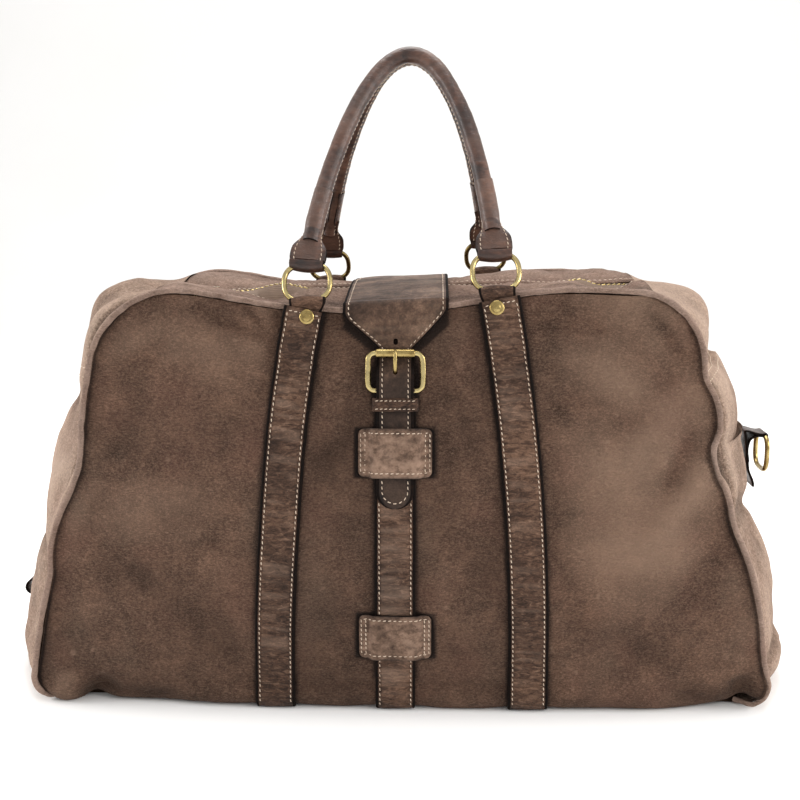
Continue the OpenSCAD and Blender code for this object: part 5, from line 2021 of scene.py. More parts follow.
@dataclass
class HandleSet:
    """Rolled handles with their flared ends, oval rings, ring tabs and rivets."""

    form: BagForm
    palette: Palette
    ring_x: float = 69.5
    ring_y: float = 97.0
    ring_z: float = 319.0
    lean: float = 3.3
    tilt: float = 26.7758
    rise: float = 171.0
    bar_high: float = 29.0
    shift: float = 13.0
    wire: float = 2.0
    ring_w: float = 34.0
    grip_r: float = 6.35
    sides: int = 26

    def on_ring(self) -> Array:
        """The front rings' hinge line."""
        return moved(0, -self.ring_y, self.ring_z) @ turned("Y", -self.lean)

    def on_plane(self) -> Array:
        """The front handle's own plane, leaning in over the zip."""
        return self.on_ring() @ turned("X", -self.tilt)

    def ring(self, side: Side) -> Piece:
        """Builds one oval ring.

        Args:
            side: left or right.

        Returns:
            The ring.
        """
        half = self.bar_high / 2
        path = oval(self.ring_w / 2, half, 2.6) + [side.value * self.ring_x, 0, half]
        piece = Piece()
        piece.tube(place(self.on_plane(), path), self.wire, 14, True, (0, -1, 0), None, 2.0, painted_wire_highlight)
        return piece

    def handle_at(self, degrees: Array) -> Array:
        """The handle's middle line.

        Args:
            degrees: 0 at the right ring to 180 at the left.

        Returns:
            Points in the handle's own plane.
        """
        t = np.radians(degrees)
        up = self.rise * np.abs(np.sin(t)) ** 1.54
        return spots(self.ring_x * np.cos(t) + self.shift * up / self.rise, 0.0, self.bar_high + up)

    def cover(self, seed: int) -> Piece:
        """Builds the rolled leather tube with its seam and stitching.

        Args:
            seed: picks its creases.

        Returns:
            The tube.
        """
        path = place(self.on_plane(), self.handle_at(np.linspace(13.5, 166.5, int(200 * FINE))))
        piece = Piece()

        def creases(along: Array, angle: Array) -> Array:
            """Creases across the tube, and its sewn seam."""
            p = spots(along + 1.2 * np.sin(angle), 2.2 * np.cos(angle), 2.2 * np.sin(angle))
            return (lumps(p, seed, (0.16, (3.2, 5, 5)), (0.3, (26, 3, 3)))
                    - 0.55 * hill(np.mod(angle + 0.15, 2 * math.pi), 4.3, 0.1))

        def shade(along: Array, angle: Array) -> Array:
            """Darker creases and seam."""
            return 0.8 * creases(along, angle)

        grid = piece.tube(path, self.grip_r, self.sides, False, (0, -1, 0), creases, 2.0, shade)
        way = ways(path)
        for spin in (3.95, 4.42):
            line = grid[:, int(round(spin / (2 * math.pi) * self.sides))]
            piece.stitches(line, unit(line - path), 4.0, 2.6, 0.36, 2, 0.2)
        for row, past in ((0, -0.8), (-1, 0.8)):
            ring = grid[row]
            rows = np.stack([ring, path[row] + (ring - path[row]) * 0.94 + way[row] * past])
            piece.sheet(rows[::-1] if past < 0 else rows, 1, None, False, True)
        return piece

    def core(self) -> Piece:
        """Builds the twisted rope inside the handle.

        Returns:
            The rope.
        """
        def twist(along: Array, angle: Array) -> Array:
            """The rope's three strands."""
            return 0.35 * np.cos(3 * angle + along / 4.2)

        path = place(self.on_plane(), self.handle_at(np.linspace(21, 159, int(150 * FINE))))
        piece = Piece()
        piece.tube(path, 3.9, 18, False, (0, -1, 0), twist)
        return piece

    def end_sheet(self, side: Side, seed: int) -> tuple[Array, int]:
        """Outer face of a handle end, from the tip behind the ring round to the rolled tube.

        Args:
            side: left or right end.
            seed: picks its wrinkles.

        Returns:
            The grid in the handle's plane, and the number of rows behind the ring.
        """
        t = np.linspace(0, 30, 60)
        line = respaced(self.handle_at(t if side is Side.RIGHT else 180 - t), 1.6)
        run, way = distance_along(line), ways(line)
        side_way = spots(way[:, 2], 0.0, -way[:, 0])
        wide = through((0, 5, 11, 18, 25, 33, 42, 60), (12.4, 13.4, 13.1, 11.2, 9.2, 7.8, 7.2, 7.0), run)
        roll = smooth((run - 12) / 22)[:, None]
        u = np.linspace(-1, 1, 25)
        x = wide[:, None] * u * (1 - roll) + 7.15 * np.sin(u * math.pi * 0.86) * roll
        y = (2.35 + 0.5 * (1 - u**2) - 0.5 * u**6) * (1 - roll) + 7.15 * np.cos(u * math.pi * 0.86) * roll
        outer = line[:, None] + x[..., None] * side_way[:, None] - y[..., None] * [0, 1, 0]
        grain = lumps(outer, seed, (0.22, (6, 6, 3.4)), (0.3, (14, 14, 9)))
        outer[..., 1] -= grain * smooth(run / 6)[:, None]
        first, rows = np.searchsorted(run, (2.0, 31.0))
        leaf = outer[first:]
        a = np.radians(np.linspace(170, 8, 12))[:, None]
        spread = wide[0] * u * (0.93 + 0.07 * np.abs(np.cos(a)))
        low = (line[0] + spread[..., None] * side_way[0]
               + spots(0 * u, 4.35 * np.cos(a), 0.2 + (1.9 * u**2 - 4.35) * np.sin(a)))
        back = leaf[:rows].copy()
        back[..., 1] = np.interp(run[first:first + rows], [0, 31], [2.9, 3.3])[:, None] + 0.5 * (1 - u**2)
        back[-1, :, 2] -= 1.2 * np.abs(np.sin(u * math.pi * 1.5))
        return np.concatenate([back[::-1], low, leaf]), len(back)

    def end(self, side: Side, seed: int) -> Piece:
        """Builds a handle end: a leaf that folds round the ring and rolls up into the tube.

        Args:
            side: left or right end.
            seed: picks its wrinkles.

        Returns:
            The flared end with its stitching.
        """
        thick = 2.1
        whole, backs = self.end_sheet(side, seed)
        normal = unit(np.cross(np.gradient(whole, axis=1), np.gradient(whole, axis=0)))
        turn = normal[-5, 12, 1] > 0
        normal = -normal if turn else normal
        under = whole - normal * thick
        # painted highlight along the middle of the leaf and painted shade towards its edges
        light_and_shade = np.abs(np.linspace(-1, 1, whole.shape[1])) ** 8
        tone = np.broadcast_to(0.25 * (1 - light_and_shade) - 0.35 * light_and_shade, whole.shape[:2])
        m = self.on_plane()
        piece = Piece()
        piece.sheet(place(m, whole[:, ::-1] if turn else whole), 0, tone)
        piece.sheet(place(m, under if turn else under[:, ::-1]), 0)
        for col, inward in ((0, 1), (-1, -2)):
            edge = whole[:, col]
            bulge = (edge - whole[:, inward]) * 0.3 - normal[:, col] * thick / 2
            rim = np.stack([edge, edge + bulge, under[:, col]])
            piece.sheet(place(m, rim if (col == 0) == turn else rim[:, ::-1]), 1)
        for row in (0, -1):
            rim = np.stack([whole[row], under[row]])
            piece.sheet(place(m, rim if (row == 0) != turn else rim[:, ::-1]), 1)
        rows = (slice(backs + 6, -6), slice(2, backs))
        for where in ((rows[0], 3), (rows[0], 21), (3, slice(2, -2)), (rows[1], 3), (rows[1], 21)):
            piece.stitches(place(m, whole[where]), normal[where] @ m[:3, :3].T, 3.6, 2.5, 0.38)
        t = np.linspace(0, 24, 24)
        core = self.handle_at(t if side is Side.RIGHT else 180 - t)
        core = respaced(core[core[:, 2] > self.bar_high + 8], 2.0)
        piece.tube(place(m, core), np.linspace(2.0, 3.6, len(core)), 12, False, (0, -1, 0))
        return piece

    def tab(self, side: Side, seed: int) -> Piece:
        """Builds a ring tab: smooth leather doubled over the ring and riveted.

        Args:
            side: left or right tab.
            seed: picks its grain.

        Returns:
            The tab.
        """
        z = np.linspace(298, 319, 22)
        under = np.maximum(LongStraps.lift(z) - 1.95, 0.5)
        low = self.form.on_skin(side.value * LongStraps.middle(z), z, under)
        bar = place(self.on_ring(), [side.value * self.ring_x, 0.0, 0.0])
        across, _, up = self.on_ring()[:3, :3].T
        front = np.array([0.0, -1.0, 0.0])
        turn = np.radians(np.linspace(-20, 200, 24))[:, None]
        loop = bar + (self.wire + 0.3) * (np.cos(turn) * front + np.sin(turn) * up)
        rise = low[low[:, 2] < bar[2] - 5]
        behind = rise[::-3][:4] + [0.0, 1.95, 0.0]
        line = respaced(np.vstack([rise[::2], loop, behind]), 1.1)
        run = distance_along(line)
        high = np.clip(line[:, 2] - (bar[2] - 9), 0, 10) / 10

        def bed(along: Array, c: Array) -> Array:
            """The hollow in which the tab lies over the ring."""
            return -1.5 * np.interp(along, run, high) * (c / 13.6) ** 2

        def grain(along: Array, c: Array) -> Array:
            """The leather's grain."""
            return 0.14 * face_noise(along, c, (3.4, 5), seed)

        strip = Strip(line, None, 12.6 + 0.9 * high, 1.8, 13, bed, grain, None, across)
        piece = Piece()
        strip.lay(piece)
        return piece

    def rivets(self) -> Piece:
        """Builds the four domed rivets.

        Returns:
            The rivets.
        """
        profile = [(5.5, -0.6), (5.55, 0.35), (5.35, 0.8), (4.7, 1.2), (3.8, 1.45), (3.2, 1.42), (2.9, 1.5),
                   (2.0, 1.95), (1.0, 2.15), (0.02, 2.2)]
        piece = Piece()
        z = np.array(314.0)
        for sx in (-1, 1):
            x = np.array(sx * self.ring_x)
            out = self.form.skin_out(x, z)
            across = unit(np.cross([0, 0, 1.0], out))
            m = np.eye(4)
            m[:3] = np.column_stack([across, np.cross(out, across), out,
                                     self.form.on_skin(x, z, LongStraps.lift(z) + 2.75)])
            for face in (Face.FRONT, Face.REAR):
                one = Piece()
                one.lathe(profile, m, 28)
                one = one.facing(face)
                piece.add(one.points[0], *one.faces[0])
        return piece

    def build(self) -> None:
        """Makes and dresses the handles and everything that carries them."""
        p = self.palette
        leather = [p.handle, p.edge, p.thread]
        for face, where in ((Face.FRONT, "front"), (Face.REAR, "rear")):
            grip = f"{where}_handle"
            self.cover(610 + face.value).facing(face).made(
                f"{where}_rolled_handle", leather, grip, [f"{grip}_cover"], "handle_leather")
            self.core().facing(face).made(
                f"{where}_rope_core", [p.rope], grip, [f"{grip}_core"], "rope_core")
            for side, word in ((Side.LEFT, "left"), (Side.RIGHT, "right")):
                ring = f"{where}_{word}_ring"
                self.ring(side).facing(face).made(f"{where}_{word}_oval_ring", [p.brass], ring, [ring],
                                                  "antique_brass")
                self.end(side, 640 + side.value).facing(face).made(
                    f"{where}_{word}_flared_end", leather, grip, [f"{grip}_{word}_end"], "handle_leather")
                self.tab(side, 660 + side.value).facing(face).made(
                    f"{where}_{word}_looped_tab", [p.strap, p.edge, p.thread], "bag", [f"{ring}_tab"],
                    "handle_leather")
        self.rivets().made("domed_rivets", [p.brass], "bag", ["strap_rivets"], "antique_brass")


def collar(piece: Piece, loop: Array, matrix: Array, profile: Array) -> None:
    """Adds a closed band.

    Args:
        piece: what it is added to.
        loop: flat closed line, anticlockwise, as (x, y).
        matrix: carries the loop's plane into place.
        profile: section of the band, as (distance out, height), clockwise.
    """
    way = ways(loop, True)
    out = np.stack([way[:, 1], -way[:, 0]], axis=-1)
    prof = np.asarray(profile, float)
    flat = loop[:, None] + out[:, None] * prof[None, :, :1]
    piece.sheet(place(matrix, spots(flat[..., 0], flat[..., 1], prof[:, 1])), 0, None, True, True)


def rounded_box(half_x: float, half_y: float, corner: float, steps: int = 7) -> Array:
    """A flat rectangle with round corners, anticlockwise from its right side.

    Args:
        half_x: half its width.
        half_y: half its height.
        corner: radius of its corners.
        steps: points on each corner.

    Returns:
        Points as (x, y) about the middle.
    """
    rings = []
    for sx, sy, start in ((1, 1, 0), (-1, 1, 90), (-1, -1, 180), (1, -1, 270)):
        turn = np.radians(np.linspace(start, start + 90, steps))
        rings.append(np.stack([sx * (half_x - corner) + corner * np.cos(turn),
                               sy * (half_y - corner) + corner * np.sin(turn)], axis=-1))
    return np.vstack(rings)


def pierced(obj: bpy.types.Object, cutter: Piece) -> None:
    """Cuts holes through an object's mesh.

    Args:
        obj: what is cut.
        cutter: closed forms in millimetres that are taken away.
    """
    mesh = bpy.data.meshes.new("hole_form")
    faces = [row for block, _ in cutter.faces for row in block.tolist()]
    mesh.from_pydata((np.vstack(cutter.points) * MM).tolist(), [], faces)
    tool = bpy.data.objects.new("hole_form", mesh)
    bpy.context.scene.collection.objects.link(tool)
    tool.matrix_world = obj.matrix_world.copy()
    cut = obj.modifiers.new("hole", "BOOLEAN")
    cut.operation, cut.solver, cut.object = "DIFFERENCE", "EXACT", tool
    bpy.context.view_layer.update()
    done = bpy.data.meshes.new_from_object(obj.evaluated_get(bpy.context.evaluated_depsgraph_get()))
    obj.modifiers.remove(cut)
    obj.data = done
    bpy.data.objects.remove(tool, do_unlink=True)


@dataclass
class FlapAndBuckle:
    """The flap over the zip, its tongue, the buckle, and the strap that holds it all."""

    form: BagForm
    palette: Palette
    seat_y: float = -102.612
    seat_z: float = 249.5
    slope: float = 9.56017
    frame_tilt: float = 4.69654
    frame_w: float = 40.0
    frame_h: float = 27.5
    bar_out: float = 4.06
    flap_w: float = 78.0
    flap_thick: float = 2.4
    flap_sewn_in: float = 4.2
    tongue_w: float = 27.5
    tongue_end: float = 163.0
    strap_w: float = 30.5
    strap_sewn_in: float = 3.4
    patch_w: float = 58.4
    patch_h: float = 36.5
    patch_corner: float = 5.0
    lean: float = 3.3

    @staticmethod
    def leaning(degrees: float, at: Sequence[float]) -> Array:
        """Axes at a point: X along the bag, Y out of it, Z up a slope.

        Args:
            degrees: how far the slope leans back.
            at: the point.

        Returns:
            The matrix that carries these axes into place.
        """
        a = math.radians(degrees)
        m = np.eye(4)
        c, s = math.cos(a), math.sin(a)
        m[:3] = np.column_stack([(-1, 0, 0), (0, -c, s), (0, s, c), at])
        return m

    def seat(self) -> Array:
        """The buckle's seat on the skin."""
        return self.leaning(self.slope, (MIDDLE, self.seat_y, self.seat_z))

    def frame_axes(self) -> Array:
        """The buckle frame's own axes, from the middle of its lower bar."""
        return self.leaning(self.frame_tilt, place(self.seat(), (0, self.bar_out, 0)))

    def face(self, z: Sequence[float], lift: Array) -> Array:
        """Places on the skin behind the centre strap.

        Args:
            z: heights.
            lift: how far off the skin.

        Returns:
            The points.
        """
        z = np.asarray(z, float)
        x = np.full_like(z, MIDDLE)
        return self.form.on_skin(x, self.form.before_sag(x, z), np.broadcast_to(lift, z.shape))

    def flap_line(self) -> tuple[Array, Array, Array]:
        """Middle line of the flap and its tongue, from the rear to the tip.

        Returns:
            The points, the half width at each, and the way across at each.
        """
        over_y = (96.4, 94.6, 88, 60, 30, 8, -8, -30, -60, -88, -94.8, -97.0)
        over_z = (311.74, 314.94, 316.34, 319.84, 322.74, 324.34,
                  324.24, 322.74, 319.84, 316.14, 314.54, 310.74)
        out = (1.5, 1.3, 2.7, 6.3, 8.02, 8.82, 8.62, 6.22, 4.3)
        up = (34, 28, 22, 15, 8, 3, -2, -6, -10)
        line = np.vstack([spots(MIDDLE, over_y, over_z), [[MIDDLE, -97.6, 305.5]],
                          self.face((296, 290), (3.0, 2.2)), place(self.seat(), spots(0, out, up)),
                          self.face((235, 228, 222, 214, 204, 194, 186, 178, 170, self.tongue_end), 4.25)])
        line = respaced(line, 1.25 / FINE)
        z = line[:, 2]
        front = line[:, 1] < -90
        tip = np.clip((z - self.tongue_end) / 13, 0, 1)
        full = self.flap_w / 2
        taper = np.interp(z, [281, 303.5, 307.5], [self.tongue_w / 2, full - 2.2, full])
        half = np.where(front, taper * np.sqrt(1 - (1 - tip) ** 2.2), full)
        turn = np.radians(self.lean) * np.where(front, smooth((z - 282) / 22), 1.0)
        return line, np.maximum(half, 1.6), spots(-np.cos(turn), 0.0, -np.sin(turn))

    def flap(self) -> Piece:
        """Builds the flap and its tongue in one, with thick edges and stitching.

        Returns:
            The flap and tongue.
        """
        line, half, across = self.flap_line()
        rows = np.arange(len(line))
        run = distance_along(line)
        z = line[:, 2]
        front = line[:, 1] < -90
        outward = np.cross(across, ways(line))
        hangs = np.where(front, smooth((z - 288) / 20), 1.0)
        # the tongue's colour is darker below 284 mm and darker again below 262 mm
        tongue_darker = 0.42 * (front & (z < 284)) + 0.3 * (front & (z < 262))

        def bed(along: Array, c: Array) -> Array:
            """How the flap sways, and how its sides hang down over the top.

            Args:
                along: distance along.
                c: distance from the middle line.

            Returns:
                The move outward.
            """
            sides = 1.1 * (c / 39) ** 2 * np.interp(along, run, ~front)
            return np.interp(along, run, hangs) * (1.3 * face_noise(along, c, (46, 40), 702) - sides)

        def inset(along: Array, c: Array) -> Array:
            """Distance in from the nearer edge."""
            return np.interp(along, run, half) - np.abs(c)

        def grain(along: Array, c: Array) -> Array:
            """The grain, and the groove that the stitches lie in."""
            return (lumps(spots(along, c, 0.0), 705, (0.14, (3.6, 16, 1)), (0.3, (20, 24, 1)))
                    - 0.3 * hill(inset(along, c), self.flap_sewn_in, 0.9))

        def shade(along: Array, c: Array) -> Array:
            """Darker edges, and a tongue that is darker below 284 mm and darker again below 262 mm."""
            return 0.5 * grain(along, c) - 0.8 * np.exp(-inset(along, c) / 1.4) - np.interp(along, run, tongue_darker)

        piece = Piece()
        strip = Strip(line - unit(outward) * self.flap_thick / 2, None, half, self.flap_thick, 31,
                      bed, grain, shade, across)
        strip.lay(piece)
        narrow = float(np.interp(run[-1] - 30, run, half))
        turn = run[-1] - narrow
        end = float(np.interp(turn, run, rows)) / rows[-1]
        for sign in (-1, 1):
            strip.sew_edge(piece, self.flap_sewn_in, sign, 0.03, end)
        bend = np.linspace(-math.pi / 2, math.pi / 2, 80)
        reach = narrow - self.flap_sewn_in
        index = np.interp(turn + reach * np.cos(bend), run, rows)
        piece.stitches(*strip.at(index, reach * np.sin(bend)))
        return piece

    def holes(self) -> Piece:
        """Forms cut out of the tongue: the prong's slot and a spare hole.

        Returns:
            The two closed forms.
        """
        cutter = Piece()
        for up, tall, low in ((15.0, 6.6, 0.2), (36.0, 4.6, -1.0)):
            loop = rounded_box(1.7, tall / 2, 1.65, 6)
            rims = [spots(loop[:, 0], out, loop[:, 1] + up) for out in (low, 14.0)]
            grid = place(self.seat(), np.stack(rims))
            cutter.sheet(grid[:, ::-1], 0, None, False, True)
            cutter.cap(grid[0][::-1], 0, True)
            cutter.cap(grid[-1][::-1], 0)
        return cutter

    def anchor(self) -> Piece:
        """Builds the flap's anchor, sewn down on the rear panel.

        Returns:
            The anchor.
        """
        skin = self.face(np.linspace(294, 311, 14), 0.45)
        path = respaced(np.vstack([skin, [[MIDDLE, -95.8, 312.2]]]) * [1, -1, 1], 1.4)
        lean = math.radians(self.lean)

        def grain(along: Array, c: Array) -> Array:
            """The leather's grain."""
            return 0.16 * face_noise(along, c, (4, 12), 711)

        across = (-math.cos(lean), 0, -math.sin(lean))
        strip = Strip(path, None, self.flap_w / 2, 2.3, 31, None, grain, None, across)
        piece = Piece()
        strip.lay(piece)
        for sign in (-1, 1):
            strip.sew_edge(piece, self.flap_sewn_in, sign, 0.1, 0.95)
        for share in (0.14, 0.3):
            strip.sew_across(piece, share, 33, 80)
        return piece

    def strap(self) -> Piece:
        """Builds the centre strap, up from under the base and round the buckle's bar.

        Returns:
            The strap.
        """
        seat, wrap = self.seat(), 2.15
        turn = np.radians(np.linspace(200, -75, 20))
        loop = spots(0.0, self.bar_out + wrap * np.cos(turn), wrap * np.sin(turn))
        round_bar = np.vstack([[(0, 0.7, -9), (0, 1.1, -5.5)], loop,
                               [(0, self.bar_out + 0.1, -7.0), (0, 3.35, -11.5)]])
        line = respaced(np.vstack([self.face(np.linspace(3.6, 237, int(150 * FINE)), 0.45),
                                   place(seat, round_bar)]), 1.3)
        flat = distance_along(line)[np.argmax(line[:, 2] > 236)]

        def inset(c: Array) -> Array:
            """Distance in from the nearer edge."""
            return self.strap_w / 2 - np.abs(c)

        def wrinkles(along: Array, c: Array) -> Array:
            """Fine wrinkles and the stitches' groove, up to where the strap turns round the bar."""
            fine = lumps(spots(along, c, 0.0), 721, (0.24, (3.4, 26, 1)), (0.16, (9, 30, 1)))
            return (along < flat) * (fine - 0.34 * hill(inset(c), self.strap_sewn_in, 0.8))

        def shade(along: Array, c: Array) -> Array:
            """Darker edges and foot, and a lighter lower part."""
            low = 0.1 * (1 - smooth((along - 150) / 30)) - 0.3 * np.exp(-along / 12)
            return 0.5 * wrinkles(along, c) - 0.9 * np.exp(-inset(c) / 1.3) + low

        strip = Strip(line, None, self.strap_w / 2, 2.4, 21, None, wrinkles, shade, (1.0, 0.0, 0.0))
        piece = Piece()
        strip.lay(piece)
        for sign in (-1, 1):
            strip.sew_edge(piece, self.strap_sewn_in, sign, 0.012, 0.86)
        return piece

    def buckle(self) -> Piece:
        """Builds the squarish brass frame.

        Returns:
            The frame.
        """
        loop = rounded_box(self.frame_w / 2, self.frame_h / 2, 5.0, 9)
        path = respaced(spots(loop[:, 0], 0.0, loop[:, 1] + self.frame_h / 2), 1.2, True)
        radius = np.where(np.abs(np.abs(path[:, 0]) - self.frame_w / 2) < 1.0, 2.15, 1.95)
        axes = self.frame_axes()
        piece = Piece()
        piece.tube(place(axes, path), radius, 16, True, axes[:3, 1], None, 2.9, painted_wire_highlight)
        return piece

    def roller(self) -> Piece:
        """Builds the brass roller on the buckle's upper bar.

        Returns:
            The roller.
        """
        half = self.frame_w / 2 - 5.6
        side = [(2.9, half), (3.2, half - 0.35), (3.3, half - 1.0)]
        profile = [(2.35, -half), *((r, -at) for r, at in side), *side[::-1], (2.35, half), (2.35, -half)]
        piece = Piece()
        piece.lathe(profile, self.frame_axes() @ moved(0, 0, self.frame_h) @ turned("Y", 90), 28)
        return piece

    def prong(self) -> Piece:
        """Builds the prong: an eye round the lower bar and a tapered tail over the roller.

        Returns:
            The prong.
        """
        axes = self.frame_axes()
        piece = Piece()
        turn = np.radians(np.arange(0, 360, 15))
        ring = 3.0 * np.stack([np.cos(turn), np.sin(turn)], axis=-1)
        collar(piece, ring, axes @ turned("Y", 90), [(0.45, 1.9), (0.45, -1.9), (-0.45, -1.9), (-0.45, 1.9)])
        out = (1.2, 0.0, -0.6, 0.1, 2.6, 4.6, 5.2, 5.1, 4.3)
        up = (2.2, 5.0, 9.0, 12.5, 15.6, 19.5, 25.0, 28.0, 30.6)
        path = place(axes, respaced(spots(0.0, out, up), 1.0))
        radius = np.interp(np.linspace(0, 1, len(path)), [0, 0.75, 0.93, 1], [1.75, 1.5, 1.2, 0.75])
        piece.tube(path, radius, 12, False, axes[:3, 1], None, 2.5)
        return piece

    def keeper(self) -> Piece:
        """Builds the keeper loop with its two rows of stitches.

        Returns:
            The keeper.
        """
        m = self.seat() @ moved(0, 0, -10.5)
        loop = respaced(rounded_box(16.15, 3.55, 2.4, 6) + [0, 3.25], 0.9, True)
        rim = [(0.35, 4.9), (0.75, 4.3), (0.85, 0), (0.75, -4.3), (0.35, -4.9)]
        piece = Piece()
        collar(piece, loop, m, rim + [(-0.35, -4.9), (-0.75, -4.3), (-0.75, 4.3), (-0.35, 4.9)])
        outer_face = 8.5
        for up in (-3.0, 3.0):
            row = place(m, spots(np.linspace(15.2, -15.2, 60), outer_face, up))
            piece.stitches(row, np.tile(m[:3, 1], (60, 1)), 3.2, 2.2, 0.36, 1)
        return piece

    def patch(self, mid_z: float, lid: float, seed: int) -> Piece:
        """Builds a patch sewn down on both sides of the strap.

        Args:
            mid_z: height of its middle.
            lid: how far its middle stands off the skin.
            seed: picks its creases.

        Returns:
            The patch with its stitching.
        """
        half, tall, corner = self.patch_w / 2, self.patch_h / 2, self.patch_corner
        z = mid_z + np.linspace(-tall, tall, 44)
        into = np.clip(corner - (tall - np.abs(z - mid_z)), 0, corner)
        wide = half - corner + np.sqrt(corner**2 - into**2)

        def bed(along: Array, c: Array) -> Array:
            """How far the patch stands off the skin, over the strap and beside it."""
            return 0.45 + (lid - 0.45) * (1 - smooth((np.abs(c) - 15.6) / 5.4)) - 0.0009 * c**2

        def grain(along: Array, c: Array) -> Array:
            """Creases, the dents beside the strap, and the grooves that the stitches lie in.

            Args:
                along: distance along.
                c: distance from the middle line.

            Returns:
                The relief.
            """
            groove = hill(half - np.abs(c), 3.6, 0.9) + hill(tall - np.abs(along - tall), 3.6, 0.9)
            return (lumps(spots(along, c, 0.0), seed, (0.2, (6, 9, 1)), (0.35, (16, 13, 1)))
                    - 0.4 * hill(np.abs(c), 21, 1.0) - 0.25 * groove)

        def shade(along: Array, c: Array) -> Array:
            """Darker cut edges."""
            near = np.minimum(half - np.abs(c), tall - np.abs(along - tall))
            return 0.45 * grain(along, c) - 0.75 * np.exp(-np.clip(near, 0, None) / 1.3)

        strip = Strip(self.face(z, 0.0), None, wide, 2.0, 45, bed, grain, shade, (1.0, 0.0, 0.0))
        piece = Piece()
        strip.lay(piece)
        for sign in (-1, 1):
            strip.sew(piece, sign * (half - 3.6), 0.1, 0.9, pitch=3.6, long=2.5)
            strip.sew(piece, sign * (half - 7.0), 0.1, 0.9, pitch=3.6, long=2.5, thick=0.5)
        for share in (0.1, 0.9):
            strip.sew_across(piece, share, 24.5, 80, pitch=3.8, long=2.6)
        return piece

    def build(self) -> None:
        """Makes and dresses the flap, the buckle and the centre strap."""
        p = self.palette
        flap_leather, strap_leather = [p.flap, p.edge, p.thread], [p.strap, p.edge, p.thread]
        flap = self.flap().made("stitched_flap_and_tongue", flap_leather, "", ["flap", "flap_tongue"],
                                "flap_leather")
        pierced(flap, self.holes())
        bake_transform(flap)
        self.anchor().made("flap_anchor_leaf", flap_leather, "bag", ["flap_anchor"], "flap_leather")
        self.strap().made("centre_strap_leather", strap_leather, "bag", ["centre_strap"], "strap_leather")
        self.buckle().made("brass_buckle_frame", [p.brass], "buckle", ["buckle_frame"], "antique_brass")
        self.roller().made("brass_roller", [p.brass], "buckle_roller", ["buckle_roller"], "antique_brass")
        self.prong().made("brass_prong", [p.brass], "buckle_prong", ["buckle_prong"], "antique_brass")
        self.keeper().made("sewn_keeper_loop", [p.strap, p.thread], "bag", ["keeper_loop"], "strap_leather")
        for z, lid, word in ((204.0, 5.5, "upper"), (62.0, 3.3, "lower")):
            self.patch(z, lid, 731 + int(z)).made(f"{word}_sewn_patch", [p.patch, p.edge, p.thread], "bag",
                                                  [f"{word}_patch"], "strap_leather")


